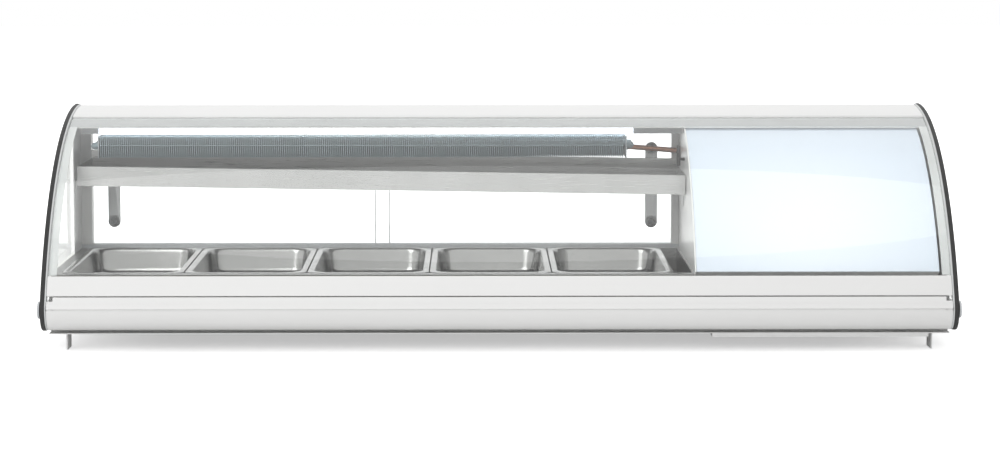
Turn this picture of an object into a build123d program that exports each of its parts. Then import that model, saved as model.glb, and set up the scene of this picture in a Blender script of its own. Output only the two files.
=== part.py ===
from build123d import *
import math
import os

# Refrigerated countertop sushi display case for five gastronorm 1/3 pans.
# Millimetres, X to the right seen from the front, the front faces -Y, +Z up.
# The origin is under the middle of the case, on the surface that it stands on.

# Overall body
case_width = 1320.0          # over the outside of both side panels' edge trims
case_depth = 412.0           # front edge to back edge of the side panels
case_height = 334.0          # top of the edge trims above the worktop
front_radius = 438.0         # big arc of the side panel's edge
nose_radius = 30.0           # rounded lower front corner of the side panel
nose_bottom = 30.0           # underside of the rounded corner above the worktop
foot_height = 25.0

# Side panels and their trims
trim_width = 9.0
trim_depth = 12.0
trim_wall = 1.5
side_glass_thickness = 6.0
trim_back_margin = 10.0
inside_clearance = 0.4       # between a side panel's trim and what stands beside it

# Curved front glass and the rail that holds it
glass_thickness = 5.0
rail_inset = 1.0
rail_wall = 2.5
pocket_clearance = 0.1
rail_bottom = 83.0
rail_top = 110.0
rail_web_height = 91.0
glass_seat_gap = 0.5
glass_top_depth = 302.5      # top edge of the glass, measured back from the front
seal_width = 12.0
seal_thickness = 0.8
seal_tape_gap = 0.2
pivot_depth = 14.0
pivot_height = 62.0
pivot_pin_diameter = 8.0
pivot_running_clearance = 0.05
pivot_bush_wall = 2.0
pivot_bush_flange = 2.0
pivot_cap_diameter = 25.0
pivot_cap_thickness = 4.0
pivot_cap_gap = 0.4
lug_thickness = 6.0
lug_boss_radius = 8.0
lug_arm_half = 4.0
lug_reach = 14.0             # the lug steps this far back before it turns up
lug_upright = 7.0

# Front bumper, base and machine floor
bumper_wall = 2.2
bumper_top_gap = 2.0
bumper_back = 44.0
bumper_notch_bottom = 75.0
bumper_notch_width = 9.0
sheet = 1.2
base_front = 46.0
base_rear_height = 104.0
base_front_height = 78.0
machine_tray_drop = 5.0
machine_tray_margin_left = 25.0
machine_tray_margin_right = 30.6
base_back_margin = 6.0
machine_tray_front = 28.0
machine_opening_rim = 14.0

# Cold well and pans
pan_count = 5
pan_width = 176.0
pan_length = 325.0
pan_depth = 40.0
pan_pitch = 178.0
pan_wall = 0.8
pan_rim = 8.0
pan_rim_thickness = 1.0
pan_corner = 30.0
pan_taper = 6.0
pan_floor_round = 8.0
pan_rim_top = 110.5
pan_front_depth = 52.0
deck_thickness = 1.0
well_floor_height = 62.0
well_ledge = 5.0
well_margin = 15.1             # from the inner width to the first pan
well_end_gap = 24.5            # open strip beside the last pan
deck_front_depth = 37.0
insulation_gap = 0.2
drain_radius = 8.0
drain_bore = 6.0
drain_tail = 6.0
drain_plate_half = 30.0

# Rear frame, rails and sliding doors
post_left_width = 18.0
post_right_width = 11.0
post_side_depth = 78.0
post_back_margin = 9.0
rail_depth = 23.0
inner_track_offset = 1.5
track_pitch = 12.0
sill_bottom = 104.0
sill_height = 11.0
sill_groove = 6.0
top_rail_bottom = 296.0
top_rail_groove = 9.0
track_width = 5.0
door_thickness = 4.0
door_clearance = 0.5
door_overlap = 23.0
door_lift = 0.3
handle_width = 19.0
handle_length = 134.0
handle_edge_distance = 32.0
handle_rise = 4.5
handle_plate = 2.0
handle_bottom = 140.0

# Top panel
top_inset = 2.5
top_rear_hem = 12.0
top_wall = 2.5
lip_wall = 2.0
lip_front_depth = 270.0
panel_seam_gap = 0.5
seal_gap = 0.3
top_step = 3.0

# Divider between cold chamber and machine compartment
divider_thickness = 2.0
divider_gap = 3.0
divider_inset = 12.2

# Lamp
lamp_margin_left = 16.6
lamp_margin_right = 2.0
lamp_end_left = 26.0
lamp_end_right = 75.0
lamp_front = 286.0
lamp_width = 22.0
lamp_height = 9.0
lamp_bottom = 293.0
lamp_wall = 1.2

# Evaporator and drip tray
coil_margin_left = 44.6
coil_margin_right = 89.0
coil_front = 268.0
coil_depth = 100.0
coil_bottom = 259.0
coil_height = 31.0
fin_pitch = 19.0
fin_thickness = 0.8
tube_diameter = 9.5
tube_rows = 4
end_plate_thickness = 1.5
tray_margin_left = 17.6
tray_margin_right = 1.5
tray_front = 216.5
tray_rail_gap = 2.0
tray_floor_left = 221.0
tray_fall = 14.0
tray_lip = 29.0
tray_back_height = 42.0
bracket_width = 30.0

# Light box over the machine compartment
diffuser_inset = 14.0
diffuser_thickness = 2.0
diffuser_bottom = 113.0
diffuser_margin = 14.6
lightbox_depth = 30.0
lightbox_sheet = 1.0
led_strip_width = 10.0
led_strip_height = 1.6

# Machine compartment
compressor_margin = 108.0
compressor_depth = 240.0
compressor_diameter = 124.0
compressor_height = 132.0
compressor_foot_spread = 126.0
mount_height = 16.0
condenser_margin = 188.6
condenser_width = 140.0
condenser_front = 330.0
condenser_thick = 44.0
condenser_bottom = 36.0
condenser_height = 150.0
condenser_tubes = 6
shroud_thick = 26.0
fan_diameter = 120.0
fan_hub_diameter = 40.0
fan_blades = 5
fan_blade_width = 16.0
fan_tip_clearance = 4.0
shaft_diameter = 6.0
motor_diameter = 56.0
motor_length = 40.0
louvre_count = 11
louvre_height = 5.0
louvre_pitch = 12.0
control_margin = 18.0
control_width = 120.0
control_bottom = 238.0
control_height = 62.0
rocker_width = 12.0
rocker_height = 20.0
rocker_gap = 0.4
key_diameter = 7.0
key_travel = 1.0
key_count = 3
rocker_turn_room = 1.4
gland_diameter = 16.0

# Values worked out from the driving sizes
front_y = -case_depth / 2
half_width = case_width / 2
inner_half = half_width - trim_width - inside_clearance
base_back = case_depth - base_back_margin
post_back = case_depth - post_back_margin
rail_front = post_back - rail_depth
post_side_front = rail_front - post_side_depth
inner_track_depth = rail_front + inner_track_offset
outer_track_depth = inner_track_depth + track_pitch
tray_back = rail_front - tray_rail_gap
first_pan_left = -inner_half + well_margin
well_right = first_pan_left + pan_count * pan_pitch + well_end_gap
divider_left = well_right + divider_gap
machine_tray_left = divider_left + machine_tray_margin_left
machine_tray_right = inner_half - machine_tray_margin_right
lamp_left = -inner_half + lamp_margin_left
lamp_right = divider_left - lamp_margin_right
lamp_light_left = lamp_left + lamp_end_left
lamp_light_right = lamp_right - lamp_end_right
coil_left = -inner_half + coil_margin_left
coil_right = divider_left - coil_margin_right
tray_left = -inner_half + tray_margin_left
tray_right = divider_left - tray_margin_right
diffuser_right = inner_half - diffuser_margin
compressor_x = divider_left + compressor_margin
condenser_left = inner_half - condenser_margin
control_left = divider_left + control_margin
arc_z = case_height - front_radius
nose_z = nose_bottom + nose_radius
nose_y = front_y + nose_radius
arc_y = nose_y + math.sqrt((front_radius - nose_radius) ** 2 - (nose_z - arc_z) ** 2)
tangent_angle = math.asin((arc_y - nose_y) / (front_radius - nose_radius))
pivot_y = front_y + pivot_depth
glass_inset = rail_inset + rail_wall + pocket_clearance
glass_inner_inset = glass_inset + glass_thickness
jaw_inset = glass_inner_inset + pocket_clearance
base_bottom = foot_height
deck_top = pan_rim_top - pan_rim_thickness
opening_left = -inner_half + post_left_width
opening_right = divider_left - post_right_width
door_width = (opening_right - opening_left + door_overlap) / 2 - door_clearance
door_bottom = sill_bottom + sill_height - sill_groove + door_lift
door_top = top_rail_bottom + top_rail_groove - door_lift - 1.0
lip_inset = glass_inner_inset + seal_gap


def at(depth):
    """Y of a place measured back from the front edge."""
    return front_y + depth


def on_arc(inset, angle):
    """Point of the big arc, set in by inset, at an angle forward from its top."""
    r = front_radius - inset
    return (arc_y - r * math.sin(angle), arc_z + r * math.cos(angle))


def angle_at_y(inset, y):
    return math.asin((arc_y - y) / (front_radius - inset))


def angle_at_z(inset, z):
    return math.acos((z - arc_z) / (front_radius - inset))


def prism(section, x_start, x_end):
    """Section drawn in (Y, Z), pulled along X."""
    return extrude(Plane.YZ.offset(x_start) * section, amount=x_end - x_start)


def block(x0, x1, y0, y1, z0, z1):
    centre = ((x0 + x1) / 2, (y0 + y1) / 2, (z0 + z1) / 2)
    return Pos(*centre) * Box(x1 - x0, y1 - y0, z1 - z0)


def rod(x, y, z, radius, length, axis):
    """Round bar that starts at a point and runs along X, Y or Z."""
    plane = {
        "x": Plane(origin=(x, y, z), z_dir=(1, 0, 0)),
        "y": Plane(origin=(x, y, z), z_dir=(0, 1, 0)),
        "z": Plane(origin=(x, y, z), z_dir=(0, 0, 1)),
    }[axis]
    return extrude(plane * Circle(radius), amount=length)


def side_outline(inset):
    """Outline of a side panel, set in by inset except at its back edge."""
    r_nose = nose_radius - inset
    top = (arc_y, arc_z + front_radius - inset)
    blend = on_arc(inset, tangent_angle)
    bottom = (nose_y, nose_z - r_nose)
    mid_angle = (tangent_angle + math.pi) / 2
    nose_mid = (nose_y - r_nose * math.sin(mid_angle), nose_z + r_nose * math.cos(mid_angle))
    back_y = front_y + case_depth
    return make_face([
        ThreePointArc(top, on_arc(inset, tangent_angle / 2), blend),
        ThreePointArc(blend, nose_mid, bottom),
        Line(bottom, (back_y, bottom[1])),
        Line((back_y, bottom[1]), (back_y, top[1])),
        Line((back_y, top[1]), top),
    ])


def arc_piece(inset, start_angle, end_angle):
    """Part of the big arc at one inset, from one angle to another."""
    middle = (start_angle + end_angle) / 2
    return ThreePointArc(on_arc(inset, start_angle), on_arc(inset, middle), on_arc(inset, end_angle))


def arc_band(outer_inset, inner_inset, top_angle, low_angle):
    """Curved strip of the big arc between two insets and two angles."""
    return make_face([
        arc_piece(outer_inset, top_angle, low_angle),
        Line(on_arc(outer_inset, low_angle), on_arc(inner_inset, low_angle)),
        arc_piece(inner_inset, low_angle, top_angle),
        Line(on_arc(inner_inset, top_angle), on_arc(outer_inset, top_angle)),
    ])


def both_sides(solid):
    return [solid, mirror(solid, about=Plane.YZ)]


def side_glass():
    """Flat side pane with the hole for the pivot bush, right-hand side."""
    outer_x = half_width - (trim_width - side_glass_thickness) / 2
    pane = prism(side_outline(trim_wall), outer_x - side_glass_thickness, outer_x)
    bush_radius = pivot_pin_diameter / 2 + pivot_running_clearance + pivot_bush_wall
    hole = rod(outer_x - 2 * side_glass_thickness, pivot_y, pivot_height,
               bush_radius, 3 * side_glass_thickness, "x")
    return pane - hole


def edge_trim():
    """Rubber channel along the curved edge and round the nose, right-hand side."""
    x0 = half_width - trim_width
    strip = prism(side_outline(0), x0, half_width)
    strip -= prism(side_outline(trim_depth), x0 - 1, half_width + 1)
    back_cut = at(case_depth - trim_back_margin)
    strip -= block(x0 - 1, half_width + 1, back_cut, back_cut + case_depth, -1, 2 * case_height)
    strip -= block(x0 - 1, half_width + 1, at(bumper_back), at(case_depth), -1, nose_z)
    pane_x = half_width - (trim_width - side_glass_thickness) / 2
    strip -= prism(side_outline(trim_wall), pane_x - side_glass_thickness, pane_x)
    bush_room = bush_flange_radius() + pivot_cap_gap
    return strip - rod(x0 - 1, pivot_y, pivot_height, bush_room, trim_width + 2, "x")


def bush_flange_radius():
    bore = pivot_pin_diameter / 2 + pivot_running_clearance
    return bore + pivot_bush_wall + pivot_bush_flange


def pivot_bush():
    """Flanged plastic bush in the side pane, right-hand side."""
    pane_x = half_width - (trim_width - side_glass_thickness) / 2
    inner_x = pane_x - side_glass_thickness
    bore = pivot_pin_diameter / 2 + pivot_running_clearance
    radius = bore + pivot_bush_wall
    flange_x = half_width - pane_x
    body = rod(inner_x, pivot_y, pivot_height, radius, side_glass_thickness, "x")
    body += rod(pane_x, pivot_y, pivot_height, bush_flange_radius(), flange_x, "x")
    return body - rod(0, pivot_y, pivot_height, bore, case_width, "x")


def pivot_pin():
    """Pin with its domed cap outside the side panel, right-hand side."""
    start = inner_half - lug_thickness - 1
    length = half_width + pivot_cap_gap - start
    pin = rod(start, pivot_y, pivot_height, pivot_pin_diameter / 2, length, "x")
    cap = rod(half_width + pivot_cap_gap, pivot_y, pivot_height,
              pivot_cap_diameter / 2, pivot_cap_thickness, "x")
    rim = cap.faces().sort_by(Axis.X)[-1].edges()
    return pin + fillet(rim, pivot_cap_thickness * 0.6)


def lug():
    """Goose-neck lug that carries the glass rail on its pivot, right-hand side."""
    x1 = inner_half - 1
    x0 = x1 - lug_thickness
    back = pivot_y + lug_reach + lug_upright
    boss = rod(x0, pivot_y, pivot_height, lug_boss_radius, lug_thickness, "x")
    arm = block(x0, x1, pivot_y, back, pivot_height - lug_arm_half, pivot_height + lug_arm_half)
    upright = block(x0, x1, pivot_y + lug_reach, back, pivot_height, rail_web_height + rail_wall)
    bridge_front = on_arc(rail_inset + rail_wall, angle_at_z(rail_inset, rail_web_height))[0]
    bridge = block(x0, x1, bridge_front + 2, back, rail_bottom + 1, rail_web_height - 4)
    bore = rod(x0 - 1, pivot_y, pivot_height, pivot_pin_diameter / 2, lug_thickness + 2, "x")
    return boss + arm + upright + bridge - bore


def glass_rail():
    """Extruded rail that grips the lower edge of the front glass, with its lugs."""
    low = angle_at_z(rail_inset, rail_bottom)
    high = angle_at_z(rail_inset, rail_top)
    web_low = angle_at_z(rail_inset, rail_web_height - rail_wall)
    web_high = angle_at_z(rail_inset, rail_web_height)
    front = arc_band(rail_inset, rail_inset + rail_wall, high, low)
    web = arc_band(rail_inset, jaw_inset + rail_wall, web_high, web_low)
    jaw = arc_band(jaw_inset, jaw_inset + rail_wall, high, web_low)
    rail = prism(front + web + jaw, -inner_half, inner_half)
    pocket = block(-case_width, case_width, at(0), at(60), 0, rail_web_height - rail_wall)
    rail_front_skin = prism(front, -inner_half, inner_half)
    for side_lug in both_sides(lug()):
        rail += side_lug - rail_front_skin
    return rail & (block(-case_width, case_width, at(-9), at(60), 0, 2 * rail_top) + pocket)


def front_glass():
    top = angle_at_y(glass_inset, at(glass_top_depth))
    low = angle_at_z(rail_inset, rail_web_height + glass_seat_gap)
    return prism(arc_band(glass_inset, glass_inner_inset, top, low), -inner_half, inner_half)


def glass_end_seal():
    """Soft seal strip stuck inside the glass along its curved end, right-hand side."""
    top = angle_at_y(glass_inset, at(lip_front_depth - 2))
    low = angle_at_z(rail_inset, rail_top + 3)
    inset = glass_inner_inset + seal_tape_gap
    strip = arc_band(inset, inset + seal_thickness, top, low)
    return prism(strip, inner_half - seal_width, inner_half)


def front_bumper():
    """Hollow painted extrusion below the glass, with notches for the lugs."""
    top = rail_bottom - bumper_top_gap
    limit = block(-inner_half, inner_half, at(-5), at(bumper_back), 0, top)
    core = block(-case_width, case_width, at(-5), at(bumper_back - bumper_wall), 0, top - bumper_wall)
    skin = prism(side_outline(rail_inset), -inner_half, inner_half) & limit
    hollow = prism(side_outline(rail_inset + bumper_wall), -case_width, case_width) & core
    bumper = skin - hollow
    notch_x = inner_half - bumper_notch_width
    notch = block(notch_x, case_width, at(-5), at(bumper_back - bumper_wall),
                  bumper_notch_bottom, case_height)
    for cut in both_sides(notch):
        bumper -= cut
    return bumper


def base_tray():
    """Bottom tray of welded sheets: walls, ledge, front lip and the floor round its openings."""
    t = sheet
    side, low = inner_half - t, base_bottom
    front, back = at(base_front), at(base_back)
    walls = [
        block(-inner_half, inner_half, front, front + t, low, base_front_height),
        block(-inner_half, inner_half, back - t, back, low, base_rear_height),
        block(-inner_half, -side, front + t, back - t, low, base_rear_height),
        block(side, inner_half, front + t, back - t, low, base_rear_height),
        block(-side, side, at(rail_front), back - t, base_rear_height - t, base_rear_height),
        block(-inner_half, inner_half, at(machine_tray_front), front, low, low + t),
    ]
    return walls + base_floor(side, front + t, back - t)


def base_floor(side, front, back):
    """Floor sheets: one over the width of the pans, one round the drain, four round the machine."""
    low, high = base_bottom, base_bottom + sheet
    drain_left = drain_x() - drain_plate_half
    drain_right = drain_x() + drain_plate_half
    hole_left = machine_tray_left + machine_opening_rim
    hole_right = machine_tray_right - machine_opening_rim
    hole_front = at(base_front + machine_opening_rim)
    hole_back = at(base_back - machine_opening_rim)
    drain = rod(drain_x(), drain_y(), low - 1, drain_radius + insulation_gap, sheet + 2, "z")
    return [
        block(-side, drain_left, front, back, low, high),
        block(drain_left, drain_right, front, back, low, high) - drain,
        block(drain_right, hole_left, front, back, low, high),
        block(hole_right, side, front, back, low, high),
        block(hole_left, hole_right, front, hole_front, low, high),
        block(hole_left, hole_right, hole_back, back, low, high),
    ]


def machine_floor():
    """Shallow tray hung under the base, which carries the compressor."""
    low = base_bottom - machine_tray_drop
    outer = block(machine_tray_left, machine_tray_right, at(machine_tray_front),
                  at(base_back), low, base_bottom)
    inner = block(machine_tray_left + sheet, machine_tray_right - sheet,
                  at(machine_tray_front) + sheet, at(base_back) - sheet,
                  low + sheet, base_bottom + 1)
    return outer - inner


def foot(side, depth):
    """Bent sheet foot: an upright blade with a flange under the base."""
    blade_x = side * (half_width - 34)
    flange_x = blade_x + side * 19
    x0, x1 = sorted((blade_x, flange_x))
    b0, b1 = sorted((blade_x, blade_x + side * 2))
    blade = block(b0, b1, at(depth), at(depth + 38), 0, foot_height)
    flange = block(x0, x1, at(depth), at(depth + 38), foot_height - 2, foot_height)
    return blade + flange


def feet():
    return [foot(side, depth) for side in (-1, 1) for depth in (44, case_depth - 84)]


def pan_centre(index):
    x = first_pan_left + pan_width / 2 + index * pan_pitch
    return x, at(pan_front_depth) + pan_length / 2


def pan_body(width, length, corner, taper, height, floor_round):
    """Tapered tub with rounded corners, its top at z = 0."""
    lower = Pos(0, 0, -height) * RectangleRounded(width - 2 * taper, length - 2 * taper,
                                                  corner - taper / 2)
    tub = loft([lower.face(), RectangleRounded(width, length, corner).face()], ruled=True)
    return fillet(tub.faces().sort_by(Axis.Z)[0].edges(), floor_round)


def pan(index):
    """Pressed steel gastronorm pan with a flat rim."""
    mouth_w = pan_width - 2 * pan_rim
    mouth_l = pan_length - 2 * pan_rim
    outer = pan_body(mouth_w, mouth_l, pan_corner, pan_taper, pan_depth, pan_floor_round)
    inner = pan_body(mouth_w - 2 * pan_wall, mouth_l - 2 * pan_wall, pan_corner - pan_wall,
                     pan_taper, pan_depth - pan_wall, pan_floor_round - pan_wall)
    rim = extrude(RectangleRounded(pan_width, pan_length, pan_rim * 1.5), amount=-pan_rim_thickness)
    x, y = pan_centre(index)
    return Pos(x, y, pan_rim_top) * (outer + rim - inner)


def well_liner():
    """Stainless cold well of welded sheets: a deck round the tank, four walls and a floor."""
    t = deck_thickness
    left, right = -inner_half + 0.5, divider_left - 0.3
    front, back = at(deck_front_depth), at(rail_front) - 0.3
    x0, x1 = first_pan_left + well_ledge, well_right
    y0 = at(pan_front_depth + well_ledge)
    y1 = at(pan_front_depth + pan_length - well_ledge)
    low, high = deck_top - t, deck_top
    drain = rod(drain_x(), drain_y(), 0, drain_bore, case_height, "z")
    return [
        block(left, right, front, y0, low, high),
        block(left, right, y1, back, low, high),
        block(left, x0, y0, y1, low, high),
        block(x1, right, y0, y1, low, high),
        block(x0 - t, x1 + t, y0 - t, y0, well_floor_height - t, low),
        block(x0 - t, x1 + t, y1, y1 + t, well_floor_height - t, low),
        block(x0 - t, x0, y0, y1, well_floor_height - t, low),
        block(x1, x1 + t, y0, y1, well_floor_height - t, low),
        block(x0, x1, y0, y1, well_floor_height - t, well_floor_height) - drain,
    ]


def insulation():
    """Foam between the cold well and the base tray."""
    g = insulation_gap
    foam = block(-inner_half + sheet + g, divider_left - 2, at(base_front) + sheet + g,
                 at(rail_front - 1), base_bottom + sheet + g, deck_top - deck_thickness - g)
    tank = block(first_pan_left + well_ledge - deck_thickness - g, well_right + deck_thickness + g,
                 at(pan_front_depth + well_ledge) - deck_thickness - g,
                 at(pan_front_depth + pan_length - well_ledge) + deck_thickness + g,
                 well_floor_height - deck_thickness - g, case_height)
    spout = rod(drain_x(), drain_y(), 0, drain_radius + g, well_floor_height, "z")
    return foam - tank - spout


def drain_x():
    return well_right - 14


def drain_y():
    return at(pan_front_depth + pan_length - 40)


def drain_spigot():
    """Drain tail under the well."""
    top = well_floor_height - deck_thickness
    low = base_bottom - drain_tail
    pipe = rod(drain_x(), drain_y(), low, drain_radius, top - low, "z")
    return pipe - rod(drain_x(), drain_y(), low - 1, drain_bore, top - low + 2, "z")


def divider_sheet():
    """Sheet wall between cold chamber and machine compartment, not yet pierced."""
    plate = prism(side_outline(divider_inset), divider_left, divider_left + divider_thickness)
    plate -= block(0, case_width, at(0), at(base_front) + sheet, 0, rail_top + 3)
    plate -= block(0, case_width, at(post_back), at(case_depth) + 1, 0, case_height)
    ledge = block(0, case_width, at(rail_front), at(case_depth), base_rear_height - sheet,
                  base_rear_height)
    return plate - ledge - block(0, case_width, at(0), at(case_depth), 0, base_bottom + sheet)


def rear_post_left():
    """Folded corner post: a deep side flange and a narrow rear face."""
    side = block(-inner_half, -inner_half + sheet, at(post_side_front), at(rail_front),
                 deck_top, lip_underside(post_side_front) - seal_gap)
    face = block(-inner_half, opening_left, at(rail_front), at(post_back), deck_top, top_rail_bottom)
    return side + face - rail_footprint()


def rear_post_right():
    face = block(opening_right, divider_left - 0.2, at(rail_front), at(post_back),
                 deck_top, top_rail_bottom)
    return face - rail_footprint()


def rear_ceiling(depth):
    """Height of the underside of the top panel at a depth."""
    inset = top_inset + top_wall
    return on_arc(inset, angle_at_y(inset, at(depth)))[1]


def lip_underside(depth):
    """Height of the underside of the top panel's lip at a depth."""
    inset = lip_inset + lip_wall
    return on_arc(inset, angle_at_y(inset, at(depth)))[1]


def rail_footprint():
    """Room that the lower door rail takes at the foot of the posts."""
    return block(-case_width, case_width, at(rail_front - 1), at(case_depth),
                 0, sill_bottom + sill_height)


def track_rail(low, high, groove_low, groove_high):
    """Rail with two grooves for the sliding doors."""
    rail = block(-inner_half, divider_left - 0.2, at(rail_front), at(post_back), low, high)
    for depth in (inner_track_depth, outer_track_depth):
        rail -= block(-case_width, case_width, at(depth), at(depth + track_width),
                      groove_low, groove_high)
    return rail


def door_sill():
    high = sill_bottom + sill_height
    return track_rail(sill_bottom, high, high - sill_groove, high + 1)


def door_top_rail():
    low = top_rail_bottom
    high = rear_ceiling(rail_front) - 0.2
    return track_rail(low, high, low - 1, low + top_rail_groove)


def door_span(name):
    if name == "left":
        return opening_left + door_clearance, opening_left + door_clearance + door_width
    return opening_right - door_clearance - door_width, opening_right - door_clearance


def door_depth(name):
    track = outer_track_depth if name == "left" else inner_track_depth
    return track + (track_width - door_thickness) / 2


def door(name):
    """Clear sliding door pane."""
    x0, x1 = door_span(name)
    y0 = at(door_depth(name))
    pane = block(x0, x1, y0, y0 + door_thickness, door_bottom, door_top)
    return pane


def handle_x(name):
    if name == "left":
        return opening_left + handle_edge_distance
    return opening_right - handle_edge_distance


def door_handle(name):
    """Slim pull: a round-ended strap that stands off the pane between its screws."""
    x = handle_x(name)
    y = at(door_depth(name)) + door_thickness
    centre_z = handle_bottom + handle_length / 2
    plane = Plane(origin=(x, y, centre_z), x_dir=(0, 0, 1), z_dir=(0, 1, 0))
    strap = extrude(plane * SlotOverall(handle_length, handle_width), amount=handle_rise)
    half_grip = handle_length / 2 - handle_width
    finger = block(x - handle_width, x + handle_width, y - 1, y + handle_rise - handle_plate,
                   centre_z - half_grip, centre_z + half_grip)
    return strap - finger


def top_panel():
    """Curved top extrusion with a step and the lip that the glass lies on."""
    low_angle = angle_at_y(top_inset, at(glass_top_depth + panel_seam_gap))
    step_angle = angle_at_y(top_inset, at(glass_top_depth + panel_seam_gap + top_step))
    lip_angle = angle_at_y(lip_inset, at(lip_front_depth))
    top_under = top_inset + top_wall
    lip_under = lip_inset + lip_wall
    back = at(base_back)
    top_z = arc_z + front_radius - top_inset
    hem_y = back - top_wall
    hem_angle = angle_at_y(top_under, hem_y)
    hem_z = top_z - top_rear_hem
    section = make_face([
        Line((back, top_z), on_arc(top_inset, 0)),
        arc_piece(top_inset, 0, low_angle),
        Line(on_arc(top_inset, low_angle), on_arc(lip_inset, low_angle)),
        arc_piece(lip_inset, low_angle, lip_angle),
        Line(on_arc(lip_inset, lip_angle), on_arc(lip_under, lip_angle)),
        arc_piece(lip_under, lip_angle, step_angle),
        Line(on_arc(lip_under, step_angle), on_arc(top_under, step_angle)),
        arc_piece(top_under, step_angle, hem_angle),
        Line(on_arc(top_under, hem_angle), (hem_y, hem_z)),
        Line((hem_y, hem_z), (back, hem_z)),
        Line((back, hem_z), (back, top_z)),
    ])
    return prism(section, -inner_half, inner_half)


def lamp_housing():
    """Channel under the top lip that holds the light strip."""
    y0 = at(lamp_front)
    top = lamp_bottom + lamp_height
    body = block(lamp_left, lamp_right, y0, y0 + lamp_width, lamp_bottom, top)
    body -= block(lamp_light_left, lamp_light_right, y0 + lamp_wall, y0 + lamp_width - lamp_wall,
                  lamp_bottom - 1, top - lamp_wall)
    hanger_z = lip_underside(lamp_front + 2) - seal_gap
    for x in (lamp_left + 20, (lamp_left + lamp_right) / 2, lamp_right - 20):
        body += block(x - 8, x + 8, y0 + 2, y0 + 8, top - lamp_wall, hanger_z)
    return body


def lamp_diffuser():
    y0 = at(lamp_front) + lamp_wall
    return block(lamp_light_left, lamp_light_right, y0, y0 + lamp_width - 2 * lamp_wall,
                 lamp_bottom, lamp_bottom + 3)


def lamp_leds():
    """Light strip board behind the diffuser."""
    y0 = at(lamp_front) + lamp_width / 2
    top = lamp_bottom + lamp_height - lamp_wall
    return block(lamp_light_left, lamp_light_right, y0 - 5, y0 + 5, top - 2, top)


def tube_places():
    """Y and Z of the straight tubes of the evaporator."""
    places = []
    step = coil_depth / tube_rows
    for row in range(tube_rows):
        z = coil_bottom + coil_height * (0.32 if row % 2 else 0.68)
        places.append((at(coil_front) + step * (row + 0.5), z))
    return places


def evaporator_fins():
    """Plate fins pierced by the tubes."""
    holes = [Pos(y, z) * Circle(tube_diameter / 2) for y, z in tube_places()]
    sheet_face = Pos(at(coil_front) + coil_depth / 2, coil_bottom + coil_height / 2) * \
        Rectangle(coil_depth, coil_height)
    for hole in holes:
        sheet_face -= hole
    count = int((coil_right - coil_left - 4 * end_plate_thickness) / fin_pitch)
    start = (coil_left + coil_right - (count - 1) * fin_pitch) / 2
    return [prism(sheet_face, start + i * fin_pitch, start + i * fin_pitch + fin_thickness)
            for i in range(count)]


def evaporator_tubes():
    """Straight tubes joined in pairs by return bends at both ends."""
    places = tube_places()
    r = tube_diameter / 2
    reach = 9.0
    pieces = []
    for y, z in places:
        pieces.append(rod(coil_left - reach, y, z, r, coil_right - coil_left + 2 * reach, "x"))
    return pieces + return_bends(places, coil_left - reach, -1, 0) \
        + return_bends(places, coil_right + reach, 1, 1)


def return_bends(places, x, side, first):
    """Half-round bends that join neighbouring tubes at one end."""
    bends = []
    for i in range(first, len(places) - 1, 2):
        y_a, z_a = places[i]
        y_b, z_b = places[i + 1]
        gap = math.hypot(y_b - y_a, z_b - z_a) / 2
        middle = (x + side * gap, (y_a + y_b) / 2, (z_a + z_b) / 2)
        path = ThreePointArc((x, y_a, z_a), middle, (x, y_b, z_b))
        circle = Plane(origin=(x, y_a, z_a), z_dir=(side, 0, 0)) * Circle(tube_diameter / 2)
        bends.append(sweep(circle, path=path))
    return bends


def evaporator_end_plates():
    """End plates that hang the coil from the upper door rail."""
    face = Pos(at(coil_front) + coil_depth / 2, coil_bottom + coil_height / 2) * \
        Rectangle(coil_depth + 6, coil_height + 2)
    tab_low = coil_bottom + coil_height / 2
    tab_high = rear_ceiling(rail_front) - 6
    tab_front = at(coil_front + coil_depth - 14)
    tab = Pos((tab_front + at(rail_front)) / 2, (tab_low + tab_high) / 2) * \
        Rectangle(at(rail_front) - tab_front, tab_high - tab_low)
    plate = face + tab
    for y, z in tube_places():
        plate -= Pos(y, z) * Circle(tube_diameter / 2)
    return [prism(plate, coil_left - end_plate_thickness, coil_left),
            prism(plate, coil_right, coil_right + end_plate_thickness)]


def drip_tray():
    """Sloping tray that catches the melt water of the evaporator."""
    angle = math.degrees(math.atan2(tray_fall, tray_right - tray_left))
    length = tray_right - tray_left
    width = tray_back - tray_front
    t = sheet
    outer = block(0, length, 0, width, 0, tray_lip)
    inner = block(t, length - t, t, width - t, t, tray_lip + 1)
    back = block(0, length, width - t, width, 0, tray_back_height)
    front_fold = block(0, length, 0, 5, tray_lip - t, tray_lip)
    tray = outer - inner + back + front_fold
    return Pos(tray_left, at(tray_front), tray_floor_left) * Rot(0, angle, 0) * tray


def tray_brackets():
    """Angles that carry the two ends of the drip tray."""
    grip = 16
    slope = tray_fall / (tray_right - tray_left)
    flange = 22
    left_top = tray_floor_left - grip * slope - seal_gap
    y0 = at(post_side_front + 10)
    y1 = y0 + bracket_width
    left = block(-inner_half + sheet, tray_left + grip, y0, y1, left_top - sheet, left_top)
    left += block(-inner_half + sheet, -inner_half + 2 * sheet, y0, y1, left_top - flange, left_top)
    right_top = tray_floor_left - tray_fall - seal_gap
    y0 = at(tray_front + 60)
    y1 = y0 + bracket_width
    right = block(tray_right - grip, divider_left, y0, y1, right_top - sheet, right_top)
    right += block(divider_left - sheet, divider_left, y0, y1, right_top - flange, right_top)
    return [left, right]


def light_box_diffuser():
    top = angle_at_y(diffuser_inset, at(lip_front_depth + 8))
    low = angle_at_z(diffuser_inset, diffuser_bottom)
    band = arc_band(diffuser_inset, diffuser_inset + diffuser_thickness, top, low)
    return prism(band, divider_left + divider_thickness + 0.5, diffuser_right)


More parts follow.
